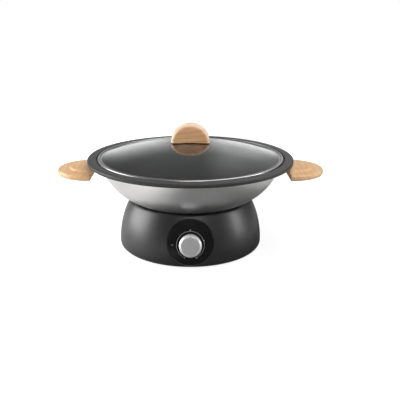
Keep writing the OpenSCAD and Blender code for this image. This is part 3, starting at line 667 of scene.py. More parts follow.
def wood_grain(f, at, colour, heart, rings, contrast, painted_highlight=0.0):
    """Long grain along X: growth rings round a heart below the piece, drawn wavy by noise, with
    pale and reddish streaks, long fibres and short dark pores. Where the last argument is above 0
    the surface is painted paler there, as a painted highlight."""
    x, y, z = f.axes(at)
    wave = f.noise(f.vector(x * 9, y * 24, z * 24), 1, 3)
    depth = (y * y + (z + heart) * (z + heart)) ** 0.5
    lines = ((depth * rings + wave * 9).sine() * 0.5 + 0.5) ** 1.6
    fibre = f.noise(f.vector(x * 40, y * 900, z * 900), 1, 3, 0.65)
    pores = f.noise(f.vector(x * 160, y * 2300, z * 2300), 1, 2).above(0.62, 0.72)
    streak = f.noise(f.vector(x * 10, y * 55, z * 55), 1, 2, 0.5, 0.6)
    red, green, blue = colour
    pale = f.mix(streak.above(0.32, 0.68), (red, green * 0.88, blue * 0.82),
                 (min(1.0, red * 1.06), green * 1.1, blue * 1.12))
    dark = (red * 0.70, green * 0.58, blue * 0.46)
    grained = f.mix(contrast * lines + 0.24 * fibre, pale, dark)
    porous = f.mix(0.35 * pores, grained, shade(dark, 0.55))
    # Painted highlight: the colour is mixed towards pale tan where the last argument is above 0.
    f.set("Base Color", f.mix(painted_highlight, porous, (0.94, 0.78, 0.62)))
    f.set("Roughness", 0.42 + 0.14 * fibre + 0.1 * pores)
    f.bump(fibre - 0.8 * pores, 0.05, 0.4)
    return f


@finish
def handle_wood(colour):
    """Oiled hardwood with its grain along the handle's flat side, Y."""
    f = Finish("handle_wood", coat_weight=0.08, coat_roughness=0.3)
    x, y, z = f.axes()
    return wood_grain(f, f.vector(y, abs(x), z), colour, 0.03, 900, 0.2)


@finish
def knob_wood(colour):
    """Oiled hardwood of the knob, with its grain along X and a painted highlight on its rounded
    edge.
    """
    f = Finish("knob_wood", coat_weight=0.4, coat_roughness=0.3)
    at = f.moved(f.place(), rotation=(0, math.radians(-9), 0))
    x, _, z = f.axes()
    height = z - GLASS_HIGH[2] * MM
    edge = (x * x + height * height) ** 0.5
    # Painted highlight: the knob's rounded edge is painted up to 45 percent towards pale tan.
    painted_highlight = 0.45 * edge.above((KNOB_HIGH[0] - 7) * MM, (KNOB_HIGH[0] - 2) * MM)
    return wood_grain(f, at, colour, -0.26, 700, 0.4, painted_highlight)


@finish
def lid_glass(colour):
    """Clear toughened glass with the faintest unevenness."""
    f = Finish("lid_glass", base_color=colour, ior=1.5, transmission_weight=1.0)
    f.set("Roughness", 0.012 * f.noise(f.place(), 25, 2).above(0.45, 0.8))
    return f


def rolled_steel(name, dark, pale, rough):
    """Stainless steel with faint rolling lines round the axis."""
    f = Finish(name, metallic=1.0)
    radius, angle, height = f.round_axis()
    lines = f.noise(f.vector(height * 3000, angle * 2, radius * 400), 1, 2)
    return f.grained(lines, dark, pale, rough, 0.12, (0.008, 0.3))


@finish
def bright_steel():
    """Polished stainless steel of screws and clips."""
    return rolled_steel("bright_steel", (0.66, 0.66, 0.67), (0.80, 0.80, 0.81), 0.15)


@finish
def rolled_band():
    """Satin stainless steel of the lid's band."""
    return rolled_steel("rolled_band", (0.42, 0.42, 0.43), (0.52, 0.52, 0.53), 0.26)


@finish
def pressed_sheet():
    """Bright pressed sheet, a little heat-stained, with spinning rings."""
    f = Finish("pressed_sheet", metallic=1.0)
    radius, angle, _ = f.round_axis()
    rings = f.noise(f.vector(radius * 1500, angle * 0.8, 0.0), 1, 2)
    stain = f.noise(f.place(), 22, 3)
    clean = f.mix(rings, (0.66, 0.66, 0.66), (0.78, 0.78, 0.78))
    f.set("Base Color", f.mix(stain.above(0.5, 0.8), clean, (0.60, 0.54, 0.44)))
    f.set("Roughness", 0.24 + 0.14 * rings + 0.08 * stain)
    f.bump(rings, 0.02, 0.4)
    return f


@finish
def heater_sheath():
    """Heat-darkened steel sheath, blotchy from grey to brown."""
    f = Finish("heater_sheath", metallic=0.9)
    at = f.place()
    blotch = f.noise(at, 60, 4, 0.6)
    f.set("Base Color", f.mix(blotch.above(0.3, 0.7), (0.12, 0.115, 0.115), (0.22, 0.17, 0.13)))
    f.set("Roughness", 0.45 + 0.2 * blotch)
    f.bump(f.noise(at, 1500, 2), 0.02, 0.5)
    return f


@finish
def copper():
    """Drawn copper, dulled in places."""
    f = Finish("drawn_copper", metallic=1.0)
    dull = f.noise(f.place(), 120, 3)
    f.set("Base Color", f.mix(dull.above(0.4, 0.7), (0.70, 0.36, 0.22), (0.42, 0.22, 0.14)))
    f.set("Roughness", 0.25 + 0.25 * dull)
    return f


@finish
def brass():
    """Turned brass."""
    f = Finish("turned_brass", metallic=1.0)
    lines = f.noise(f.moved(f.place(), scale=(1, 1, 0.02)), 40, 2)
    return f.grained(lines, (0.62, 0.44, 0.18), (0.75, 0.56, 0.26), 0.22, 0.2)


@finish
def rubber():
    """Matt black rubber with a fine moulded grain."""
    f = Finish("black_rubber", specular_ior_level=0.3)
    return f.grained(f.noise(f.place(), 900, 3, 0.6), (0.012, 0.012, 0.012),
                     (0.028, 0.027, 0.026), 0.75, 0.2, (0.05, 0.5))


@finish
def insulator():
    """Cream insulating moulding with a fine mottled body."""
    f = Finish("insulator")
    return f.grained(f.noise(f.place(), 400, 3, 0.6), (0.62, 0.57, 0.46),
                     (0.78, 0.74, 0.64), 0.5, 0.2, (0.03, 0.4))


@finish
def silicone():
    """Rust-red silicone insulation of the leads."""
    f = Finish("silicone_lead")
    return f.grained(f.noise(f.place(), 500, 2), (0.40, 0.06, 0.035), (0.52, 0.10, 0.055),
                     0.42, 0.15)


@finish
def pilot_plastic():
    """Dark red clear lens of the pilot lamp, unlit."""
    f = Finish("pilot_plastic", coat_weight=0.5)
    return f.grained(f.noise(f.place(), 800, 2), (0.055, 0.030, 0.027), (0.085, 0.048, 0.042),
                     0.12, 0.1)


# ---- Forms of the base ----


def base_form(s):
    """The housing's curves in millimetres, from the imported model's box and the settings."""
    form = {"wide_r": HOUSING_HIGH[0], "edge": s.bottom_edge / MM, "side": s.side_curve / MM,
            "shoulder": s.shoulder / MM, "top": HOUSING_HIGH[2], "low": HOUSING_LOW[2],
            "wall": s.wall / MM}
    form["wide_z"] = form["low"] + form["edge"]
    form["side_x"] = form["wide_r"] - form["side"]
    form["top_z"] = form["top"] - form["shoulder"]
    rise = form["top_z"] - form["wide_z"]
    form["top_x"] = form["side_x"] + math.sqrt((form["side"] - form["shoulder"]) ** 2 - rise ** 2)
    form["lean"] = math.atan2(rise, form["top_x"] - form["side_x"])
    return form


def bell_radius(z, base, inset=0.0):
    """Radius of the housing's skin at height z, or of its inner wall with an inset: the bottom
    edge, the side and the shoulder are three circles, each made smaller by the inset."""
    def circle(x, middle_z, radius):
        return x + np.sqrt(np.maximum((radius - inset) ** 2 - (z - middle_z) ** 2, 0))

    z = np.asarray(z, float)
    low = circle(base["wide_r"] - base["edge"], base["wide_z"], base["edge"])
    side = circle(base["side_x"], base["wide_z"], base["side"])
    top = circle(base["top_x"], base["top_z"], base["shoulder"])
    knee = base["top_z"] + (base["shoulder"] - inset) * math.sin(base["lean"])
    return np.where(z < base["wide_z"], low, np.where(z < knee, side, top))


def bell_profile(base, inset=0.0):
    """Skin of the housing from its bottom edge to its top edge."""
    lean = math.degrees(base["lean"])
    start = -90 if inset == 0 else -30
    return chain(
        arc(base["wide_r"] - base["edge"], base["wide_z"], base["edge"] - inset, start, -4, 10),
        arc(base["side_x"], base["wide_z"], base["side"] - inset, 0, lean - 1, 30),
        arc(base["top_x"], base["top_z"], base["shoulder"] - inset, lean + 4, 90, 8))


def panel_axes(c):
    """Origin and axes of the control panel's frame: Z out of the panel, Y up along it."""
    base = base_form(bpy.context.scene.wok_base)
    height = c.panel_height / MM
    back = math.sqrt(bell_radius(height, base) ** 2 - (c.panel_radius / MM) ** 2)
    sin, cos = math.sin(c.panel_tilt), math.cos(c.panel_tilt)
    return (0, -back, height), (1, 0, 0), (0, sin, cos), (0, -cos, sin)


def dial_axes(c):
    """The control panel's frame moved down along the panel to the dial's axis."""
    origin, x_axis, y_axis, z_axis = panel_axes(c)
    return np.array(origin) - np.array(y_axis) * c.dial_drop / MM, x_axis, y_axis, z_axis


def gland_axes():
    """Origin and axes of the gland's frame: Z out of the back of the housing."""
    low, high = node_box("cord_gland")
    return (0, high[1], (low[2] + high[2]) / 2), (-1, 0, 0), (0, 0, 1), (0, 1, 0)


def onto_bell(flat, axes, base, inset):
    """Points of a hole's own plane (x, y) moved along the hole's axis until they lie on the skin;
    the distance, from 40 mm inside to 25 mm outside, is found by halving."""
    near = np.full((*flat.shape[:-1], 1), -40.0)
    far = np.full((*flat.shape[:-1], 1), 25.0)
    for _ in range(40):
        mid = (near + far) / 2
        x, y, z = np.moveaxis(placed(np.concatenate([flat, mid], -1), *axes), -1, 0)
        outside = (np.hypot(x, y) > bell_radius(z, base, inset))[..., None]
        near, far = np.where(outside, near, mid), np.where(outside, mid, far)
    return np.concatenate([flat, (near + far) / 2], -1)


def hole_patch(edge, hole, base, inset):
    """Two sheets between a window's edge and a round hole: the first lies on the skin and closes in
    on the hole's circle, the second runs over a rounded lip and down to the hole's floor."""
    axes, radius, lip = hole["axes"], hole["radius"], hole["lip"]
    flat = ((edge - np.array(axes[0])) @ np.array(axes[1:], float).T)[:, :2]
    out = flat / np.linalg.norm(flat, axis=1)[:, None]
    circle = out * (radius + lip)
    share = np.linspace(1, 0, 12)[1:, None, None] ** 1.3
    skin = onto_bell(circle + share * (flat - circle), axes, base, inset)
    patch = np.concatenate([edge[None], placed(skin, *axes)])
    level = skin[-1, :, 2:]
    rings = [np.column_stack([out * (radius + lip * (1 - math.sin(a))),
                              level - hole["side"] * lip * (1 - math.cos(a))])
             for a in np.radians(np.linspace(0, 90, 5))]
    rings += [np.column_stack([out * floor_r, np.full(len(out), height)])
              for height, floor_r in hole["floor"]]
    wall = placed(rings, *axes)
    wall[0] = patch[-1]
    return [Sheet(patch.transpose(1, 0, 2)), Sheet(wall.transpose(1, 0, 2))]


def skin_with_holes(profile, base, inset, holes, steps=SKIN_STEPS):
    """The revolved skin, left open in a window round each hole and filled there by a patch. Each
    hole gives its axes, its angle round the base, the window's half-width in columns and its first
    and last row, the hole's radius, its lip's radius, whether the lip dips (side) and the hole's
    floor as rings of a height and a radius."""
    grid = lathe(profile, steps)
    left_out = np.zeros((steps, grid.shape[1] - 1), bool)
    patches = []
    for hole in holes:
        middle = round(hole["angle"] / 360 * steps)
        columns = np.arange(middle - hole["half"], middle + hole["half"] + 1) % steps
        first, last = hole["rows"]
        left_out[np.ix_(columns[:-1], np.arange(first, last))] = True
        edge = np.concatenate([
            grid[columns, first], grid[columns[-1], first + 1:last + 1],
            grid[columns[::-1], last][1:], grid[columns[0], first:last][::-1]])
        patches += hole_patch(edge, hole, base, inset)
    return [Sheet(grid, closed=True, left_out=left_out)] + patches


def row_at(profile, height):
    """Number of the profile's point that is nearest to a height."""
    return int(np.argmin(np.abs(profile[:, 1] - height)))


class WOK_OT_base_shell(bpy.types.Operator):
    """Makes the bell-shaped housing with the recess of the panel and the hole of the gland"""

    bl_idname = "wok.base_shell"
    bl_label = "Base shell"

    def execute(self, context):
        scene = context.scene
        base = base_form(scene.wok_base)
        wall, top, low = base["wall"], base["top"], base["low"]
        play = 0.15
        panel = {"axes": panel_axes(scene.wok_control), "angle": 270}
        gland = {"axes": gland_axes(), "angle": 90, "half": 4, "lip": 0.3}
        recess = scene.wok_control.panel_radius / MM + play
        boss = recess + 1.5
        gland_z = gland["axes"][0][2]
        gland_floor, gland_r = -8.4, 6.6
        outer, inner = bell_profile(base), bell_profile(base, wall)
        sheets = skin_with_holes(outer, base, 0, [
            {**panel, "half": 16, "radius": recess, "lip": 0.9, "side": 1,
             "rows": (row_at(outer, 3.6), row_at(outer, top - 0.75)),
             "floor": [(-PANEL_THICK, recess), (-PANEL_THICK, 0.0)]},
            {**gland, "radius": 8.0, "side": 1,
             "rows": (row_at(outer, gland_z - 12), row_at(outer, gland_z + 12)),
             "floor": [(-5.0, 8.0), (-5.0, gland_r), (gland_floor, gland_r)]},
        ])
        sheets += skin_with_holes(inner, base, wall, [
            {**panel, "half": 17, "radius": boss, "lip": 0.5, "side": 0,
             "rows": (1, len(inner) - 3), "floor": [(-5.5, boss), (-5.5, 0.0)]},
            {**gland, "radius": 10.0, "side": 0,
             "rows": (row_at(inner, gland_z - 13), row_at(inner, gland_z + 13)),
             "floor": [(gland_floor, 10.0), (gland_floor, gland_r)]},
        ])
        ring_r, ring_low = RING_HIGH[0] + play, top - 1.5
        seat = RING_HIGH[0] - 3.45
        sheets.append(turned(rounded([
            (*outer[-1], 0), (ring_r, top, 0.4), (ring_r, ring_low, 0.2), (seat, ring_low, 0.3),
            (seat, top - wall, 0.2), (*inner[-1], 0)], 2), SKIN_STEPS))
        cover = node_box("bottom_cover")[1][0] + play
        ledge, ledge_z = cover - 9.15, low + 2.5
        sheets.append(turned(rounded([
            (*inner[0], 0), (ledge, inner[0][1], 0.4), (ledge, ledge_z, 0.3), (cover, ledge_z, 0),
            (cover, low, 0.5), (*outer[0], 0)], 2), SKIN_STEPS))
        shell = join_sheets("base_shell", sheets, 38)
        finish_piece(shell, "base", [satin_moulding(scene.wok_base.colour)], ("base_housing",))
        return {"FINISHED"}


def ribbon(axes, start, end, radius, half, steps=120):
    """Thin raised print along a circle about a frame's Z axis, from one angle to another in
    degrees: a rectangle 0.06 mm high, sunk by 0.02 mm, carried along the circle and capped."""
    angle = np.radians(np.linspace(start, end, steps + 1))
    section = [(-half, -0.02), (-half, 0.04), (half, 0.04), (half, -0.02), (-half, -0.02)]
    grid = np.array([np.column_stack([(radius + out) * np.cos(angle),
                                      (radius + out) * np.sin(angle), height + 0 * angle])
                     for out, height in section])
    caps = [Sheet(placed(grid[[0, 1, 3, 2], end].reshape(2, 2, 3), *axes)) for end in (0, -1)]
    return [Sheet(placed(grid, *axes))] + caps


def dot(axes, angle, radius, size):
    """Small round print on a circle about a frame's Z axis, at an angle in degrees."""
    middle = (radius * math.cos(math.radians(angle)), radius * math.sin(math.radians(angle)), 0)
    shape = lathe([(0, -0.02), (size, -0.02), (size, 0.05), (0, 0.05)], 20)
    return Sheet(placed(shape + np.array(middle), *axes), closed=True)


class WOK_OT_control_panel(bpy.types.Operator):
    """Makes the glossy panel, its printed scale and the pilot lamp's lens"""

    bl_idname = "wok.control_panel"
    bl_label = "Control panel"

    def execute(self, context):
        control = context.scene.wok_control
        radius = control.panel_radius / MM
        disc = rounded([(0, -PANEL_THICK, 0), (radius, -PANEL_THICK, 0.3), (radius, 0, 0.8),
                        (0, 0, 0)], 5)
        panel = join_sheets("panel_disc", [turned(disc, 160, panel_axes(control))])
        finish_piece(panel, "base", [gloss_panel(control.panel_colour)], ("control_panel",))
        axes = dial_axes(control)
        scale = control.scale_radius / MM
        first, last = -65, 245
        sheets = ribbon(axes, first, last, scale, 0.24)
        for angle, out, size in ((first, 0.3, 1.35), (last, 0.3, 1.0), (90, 1.9, 1.05),
                                 (19, 0.3, 1.1)):
            sheets.append(dot(axes, angle, scale + out, size))
        scale_print = join_sheets("scale_print", sheets)
        finish_piece(scale_print, "base", [printed(control.print_colour)])
        smooth_copies("base", pilot_plastic(), "pilot_lens")
        smooth_copies("base", insulator(), "pilot_lamp")
        return {"FINISHED"}


class WOK_OT_dial(bpy.types.Operator):
    """Makes the turned dial with its brushed face, pointer and shaft"""

    bl_idname = "wok.dial"
    bl_label = "Dial"

    def execute(self, context):
        control = context.scene.wok_control
        colour = control.dial_colour
        axes = dial_axes(control)
        radius, top = control.dial_radius / MM, control.dial_height / MM
        face = radius - 3.5
        skirt = rounded([
            (0, top - 3, 0), (radius - 2.2, top - 3, 0.5), (radius - 2.2, 0.6, 0.3),
            (radius - 0.2, 0.6, 0.4), (radius, top - 3.4, 0.7), (face + 0.9, top - 0.2, 0.9),
            (face + 0.3, top, 0.2), (face, top - 0.3, 0.15), (face - 0.1, top - 1.2, 0),
            (0, top - 1.2, 0)], 5)
        knob = join_sheets("dial_cap", [turned(skirt, 144, axes)], 40)
        finish_piece(knob, "dial", [dial_polished(colour)], ("dial_knob",))
        disc = rounded([
            (0, top - 1.15, 0), (face - 0.15, top - 1.15, 0.1), (face - 0.15, top - 0.45, 0.25),
            (face - 4, top - 0.55, 2), (0, top - 0.7, 0)], 4)
        plate = join_sheets("dial_plate", [turned(disc, 144, axes)])
        finish_piece(plate, "dial", [dial_brushed(colour, axes[0], control.panel_tilt)],
                     ("dial_face",))
        smooth_copies("dial", heat_moulding(), "dial_pointer")
        smooth_copies("dial", bright_steel(), "thermostat_shaft")
        return {"FINISHED"}


class WOK_OT_seat(bpy.types.Operator):
    """Makes the seat ring in the base's opening"""

    bl_idname = "wok.seat"
    bl_label = "Seat ring"

    def execute(self, context):
        smooth_copies("base", heat_moulding(), "seat_ring")
        return {"FINISHED"}


class WOK_OT_heating(bpy.types.Operator):
    """Makes the heating element, its reflector, the sensor and their small parts"""

    bl_idname = "wok.heating"
    bl_label = "Heating"

    def execute(self, context):
        smooth_copies("base", pressed_sheet(), "reflector_dish")
        smooth_copies("base", heater_sheath(), "heating_element")
        smooth_copies("base", bright_steel(), "element_brackets", "sensor_clip", "fuse_clip",
                      "thermostat_nut")
        smooth_copies("base", copper(), "sensor_bulb", "capillary_tube")
        smooth_copies("base", insulator(), "thermal_fuse", "thermostat_body", "terminal_block")
        smooth_copies("base", silicone(), "internal_leads")
        return {"FINISHED"}


def screw_heads(name, node, body, places, up, radius, height, shank, length):
    """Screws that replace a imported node: a domed head with a cross recess, whose depth falls off
    from the middle along two crossed bars, on a plain shank. places are the middles of the
    heads' undersides; up is 1 where the head points up and -1 where it points down."""
    angle = np.linspace(0, 2 * np.pi, 48, endpoint=False)[:, None]
    reach = np.concatenate([[0], np.linspace(0.08, 0.94, 14), [1.0]])[None]
    x, y = reach * np.cos(angle), reach * np.sin(angle)
    edge_height = 0.55 * height
    dome = edge_height + 0.45 * height * np.sqrt(np.maximum(1 - reach ** 2, 0))
    off_bars = np.minimum(np.abs(x), np.abs(y))
    cross = np.clip((0.16 - off_bars) / 0.06, 0, 1) * np.clip((0.66 - reach) / 0.12, 0, 1)
    depth = 0.55 * height * cross * (1 - 0.4 * reach)
    top = np.stack([radius * x, radius * y, dome - depth], -1)
    side = lathe([(0, -length), (shank, -length), (shank, 0), (radius, 0),
                  (radius, edge_height)], 48)
    sheets = [Sheet(grid * (1, 1, up) + np.array(place), closed=True)
              for place in places for grid in (top, side)]
    finish_piece(join_sheets(name, sheets, 40), body, [bright_steel()], (node,))


def ring_places(angles, radius, height):
    """Points at a height on a circle about the Z axis, at angles in degrees."""
    return [(radius * math.cos(math.radians(a)), radius * math.sin(math.radians(a)), height)
            for a in angles]


class WOK_OT_underside(bpy.types.Operator):
    """Makes the bottom cover, feet, gland and the screws of the base"""

    bl_idname = "wok.underside"
    bl_label = "Underside"

    def execute(self, context):
        smooth_copies("base", satin_moulding(context.scene.wok_base.colour), "bottom_cover")
        smooth_copies("base", rubber(), "rubber_feet")
        smooth_copies("base", heat_moulding(), "cord_gland", "gland_nut")
        head = 3.4
        low, high = node_box("cover_screws")
        places = ring_places(range(0, 360, 60), high[0] - head, low[2] + 1.2)
        screw_heads("cover_screw_heads", "cover_screws", "base", places, -1, head, 1.2, 1.5, 8)
        places = ring_places((-45, 45, 200), 55, node_box("reflector_screws")[1][2] - 2)
        screw_heads("reflector_screw_heads", "reflector_screws", "base", places, 1, head, 2, 1.7,
                    10)
        return {"FINISHED"}


# ---- Forms of the pan ----


class WOK_OT_pan(bpy.types.Operator):
    """Makes the cast pan with its step, rim and handle lugs"""

    bl_idname = "wok.pan"
    bl_label = "Pan"

    def execute(self, context):
        s = context.scene.wok_pan
        flat, curve, wall = s.flat / MM, s.curve / MM, s.wall / MM
        low, top, rim_r = PAN_LOW[2], PAN_HIGH[2], PAN_HIGH[1]
        recess = rim_r - s.rim_width / MM
        step = BAND_LOW[2] - 0.3
        root = step - 3.8
        rim_low, lip_low, lip_r = top - 3.4, top - 6.2, rim_r - 3
        inner_r = curve - wall
        lean = math.degrees(math.asin((step - low - curve) / inner_r))
        root_lean = math.degrees(math.asin((root - low) / curve - 1))
        inside = arc(flat, low + curve, inner_r, lean - 2, -90, 64)
        outside = chain([(0, low)], arc(flat, low + curve, curve, -90, root_lean, 64),
                        [(recess + 1, root)])
        rim = rounded([
            (recess + 1, root, 0), (recess + 4, rim_low, 1.5), (lip_r, rim_low, 1.2),
            (lip_r, lip_low, 0.5), (rim_r - 0.4, lip_low, 0.8), (rim_r, rim_low, 1.5),
            (rim_r, top, 3.2), (recess, top, 0.7), (recess, step, 0.3),
            (flat + inner_r * math.cos(math.radians(lean)), step, 0.8), (*inside[0], 0)], 6)
        pan = join_sheets("pan_body", [
            turned(outside, ROUND_STEPS), turned(rim, ROUND_STEPS, finish=1),
            turned(chain(inside, [(0, low + wall)]), ROUND_STEPS, finish=1)], 34)
        silver = cast_outside(s.outside_colour)
        finish_piece(pan, "wok", [silver, nonstick(s.coating_colour)], ("wok_pan",))
        lug_root, lug_half, lug_low, lug_thick = 149.6, 16, low + 52.8, 5
        for side, name in ((-1, "pan_lug_left"), (1, "pan_lug_right")):
            near, far = sorted((side * lug_root, side * PAN_HIGH[0]))
            lug = join_sheets(name, [block((near, -lug_half, lug_low),
                                           (far, lug_half, lug_low + lug_thick), 1.5)], 30)
            soften(lug, 0.5, 2, 60)
            finish_piece(lug, "wok", [silver])
        return {"FINISHED"}


class WOK_OT_handles(bpy.types.Operator):
    """Makes the two half-moon handles with their raised middles, and their screws"""

    bl_idname = "wok.handles"
    bl_label = "Handles"

    def execute(self, context):
        s = context.scene.wok_pan
        radius = (HANDLE_HIGH[1] - HANDLE_LOW[1]) / 2
        chord, low = HANDLE_LOW[0], HANDLE_LOW[2]
        middle = HANDLE_HIGH[0] - radius
        thick = HANDLE_HIGH[2] - low
        outer = thick - 3.5
        pad = s.pad_radius / MM
        screw_x, screw_y = chord + 14, 9
        bore_r, bore_end = 3.75, 2.4
        section = rounded([(0, 0, 0), (radius, 0, 3.5), (radius, outer, 3.6),
                           (pad + 2.2, outer, 1.6), (pad + 0.2, thick, 2.0), (0, thick, 0)], 7)
        section = np.insert(section, 1, (radius / 2, 0), 0)
        angle = np.radians(np.linspace(-90, 90, 97))[:, None]
        r, z = section.T[:, None]
        disc = np.stack([r * np.cos(angle), r * np.sin(angle), z + 0 * angle], -1)
        disc[[0, -1], :, 0] = 0.0
        straight = disc[[0, -1]].copy()
        straight[..., 0] = chord - middle
        grid = np.concatenate([straight[:1], disc, straight[1:]]) + np.array([middle, 0, low])
        for side, name in ((-1, "left"), (1, "right")):
            piece = join_sheets("handle_wood_" + name, [Sheet(grid * (side, 1, 1))])
            turn_out(piece.data, fill=True)
            smooth(piece.data, 32)
            hole = lathe([(0, -2), (bore_r, -2), (bore_r, bore_end), (0, bore_end)], 48)
            cut(piece, [join_sheets("hole", [Sheet(hole + np.array((side * screw_x, y, low)),
                                                   closed=True)])
                        for y in (-screw_y, screw_y)])
            soften(piece, 0.7)
            finish_piece(piece, "wok", [handle_wood(s.handle_colour)], ("handle_" + name,))
        places = [(x, y, low + 2.2) for x in (-screw_x, screw_x) for y in (-screw_y, screw_y)]
        screw_heads("handle_screw_heads", "handle_screws", "wok", places, -1, 3.6, 1.8, 1.9, 8)
        return {"FINISHED"}


# ---- Forms of the lid ----


class WOK_OT_lid_glass(bpy.types.Operator):
    """Makes the domed glass"""

    bl_idname = "wok.lid_glass"
    bl_label = "Lid glass"

    def execute(self, context):
        s = context.scene.wok_lid
        thick = s.glass / MM
        low, top, radius = GLASS_LOW[2], GLASS_HIGH[2], GLASS_HIGH[0]
        hole, bend = 4, radius - 6.2
        sag = top - low - thick
        dome = (bend ** 2 + sag ** 2) / (2 * sag)
        centre = top - dome
        under_dome = dome - thick
        under_bend = math.sqrt(under_dome ** 2 - (low - centre) ** 2)

        def lean(x, arc_r):
            """Angle in degrees of an arc's point at distance x from the axis."""
            return math.degrees(math.acos(x / arc_r))

        upper = arc(0, centre, dome, lean(hole, dome), lean(bend, dome), 48)
        under = arc(0, centre, under_dome, lean(under_bend, under_dome), lean(hole, under_dome), 48)
        profile = rounded([(*p, 0) for p in upper[:-1]]
                          + [(*upper[-1], 6), (radius, low + thick, 0.8), (radius, low, 0.8),
                             (*under[0], 5)]
                          + [(*p, 0) for p in under[1:]] + [(*upper[0], 0)], 4)
        glass = join_sheets("glass_dome", [turned(profile, ROUND_STEPS)], 50)
        finish_piece(glass, "lid", [lid_glass(s.glass_colour)], ("lid_glass",))
        return {"FINISHED"}


class WOK_OT_lid_band(bpy.types.Operator):
    """Makes the rolled steel band round the glass"""

    bl_idname = "wok.lid_band"
    bl_label = "Lid band"

    def execute(self, context):
        radius, low, high = BAND_HIGH[0], BAND_LOW[2], BAND_HIGH[2]
        inner, lip, sheet = radius - 5.8, radius - 3.0, 0.6
        profile = rounded([
            (inner, low + 0.3, 0), (inner, low, 0.25), (radius, low, 0.8), (radius, high, 1.6),
            (lip, high, 0.28), (lip, high - sheet, 0.2), (radius - sheet, high - sheet, 0.9),
            (radius - sheet, low + sheet, 0.4), (inner, low + sheet, 0.25),
            (inner, low + 0.3, 0)], 5)
        band = join_sheets("lid_band_ring", [turned(profile, ROUND_STEPS)], 60)
        finish_piece(band, "lid", [rolled_band()], ("lid_band",))
        return {"FINISHED"}


class WOK_OT_lid_knob(bpy.types.Operator):
    """Makes the half-round wooden knob and what fastens it"""

    bl_idname = "wok.lid_knob"
    bl_label = "Lid knob"

    def execute(self, context):
        s = context.scene.wok_lid
        radius, half = KNOB_HIGH[:2]
        edge = s.knob_edge / MM
        gap, dome = 1.15, 510
        section = rounded([(0, -half, 0), (radius, -half, edge), (radius, half, edge),
                           (0, half, 0)], 10)
        angle = np.radians(np.linspace(0, 180, 97))[:, None]
        r, y = section.T[:, None]
        foot = gap - r ** 2 * np.cos(angle) ** 2 / (2 * dome)
        rise = r * np.sin(angle)
        grid = np.stack([r * np.cos(angle), y + 0 * angle,
                         GLASS_HIGH[2] + rise + foot * (1 - rise / radius)], -1)
        count = len(section) // 2
        share = np.linspace(0, 1, 9)[:, None, None]
        sheets = [Sheet(grid)]
        for row in (0, -1):
            front, back = grid[row, :count], grid[row, ::-1][:count]
            sheets.append(Sheet(front[None] * (1 - share) + back[None] * share))
        knob = join_sheets("knob_half_round", sheets, 40)
        soften(knob, 0.7)
        finish_piece(knob, "lid", [knob_wood(s.knob_colour)], ("lid_knob",))
        smooth_copies("lid", brass(), "knob_insert")
        smooth_copies("lid", rubber(), "knob_gasket")
        smooth_copies("lid", bright_steel(), "knob_washer")
        low, high = node_box("knob_screw")
        head = 2.6
        screw_heads("knob_screw_head", "knob_screw", "lid", [(0, 0, low[2] + head)], -1, 5, head,
                    2.45, high[2] - low[2] - head)
        return {"FINISHED"}


# ---- Studio ----


def all_but(piece):
    """Group for a lamp's light that leaves one piece out."""
    group = bpy.data.collections.new("all_but_" + piece.name)
    group.objects.link(piece)
    group.collection_objects[0].light_linking.link_state = "EXCLUDE"
    return group


def lamp(name, place, target, size, power, receivers):
    """A soft rectangular lamp that points at the target and lights only its receivers."""
    light = bpy.data.lights.new(name, "AREA")
    light.shape = "RECTANGLE"
    light.size, light.size_y = size
    light.energy = power
    holder = bpy.data.objects.new(name, light)
    bpy.context.scene.collection.objects.link(holder)
    holder.location = place
    holder.rotation_euler = (Vector(target) - Vector(place)).to_track_quat("-Z", "Y").to_euler()
    holder.light_linking.receiver_collection = receivers


def floor_paper():
    """Pale paper that shows as white to the camera and keeps a trace of the object's shadow. Under
    the wok and to its right the paper is painted darker grey, paler towards the back and on the far
    right: painted shade that the silver pan reflects beside the bare paper on the left."""
    f = Finish("floor_paper", roughness=1.0, specular_ior_level=0.0, emission_strength=1.0)
    x, y, _ = f.axes()
    radius = (x * x + y * y) ** 0.5
    # Painted shade: the paper is darker grey under the wok and to its right, seen mostly in the
    # pan's reflection.
    painted_shade = (0.20 + 0.14 * y.above(-0.21, -0.12) * (1 - x.above(0.06, 0.14))
            + 0.38 * x.above(0.21, 0.27))
    bare = (-x).above(0.02, 0.195) * (1 - 0.25 * (-x).above(0.22, 0.30))
    f.set("Base Color", f.grey(painted_shade + (0.92 - painted_shade) * bare))
    # The camera sees the paper white. Glossy rays also see a painted glow on the bare paper, which
    # shows as a painted reflection on the pan and base.
    own_light = (f.in_plain_view() * (0.86 + 0.14 * radius.above(0.6, 1.6))
                 + 0.24 * bare * f.ray("Is Glossy Ray"))
    f.set("Emission Color", f.grey(own_light))
    return f.material


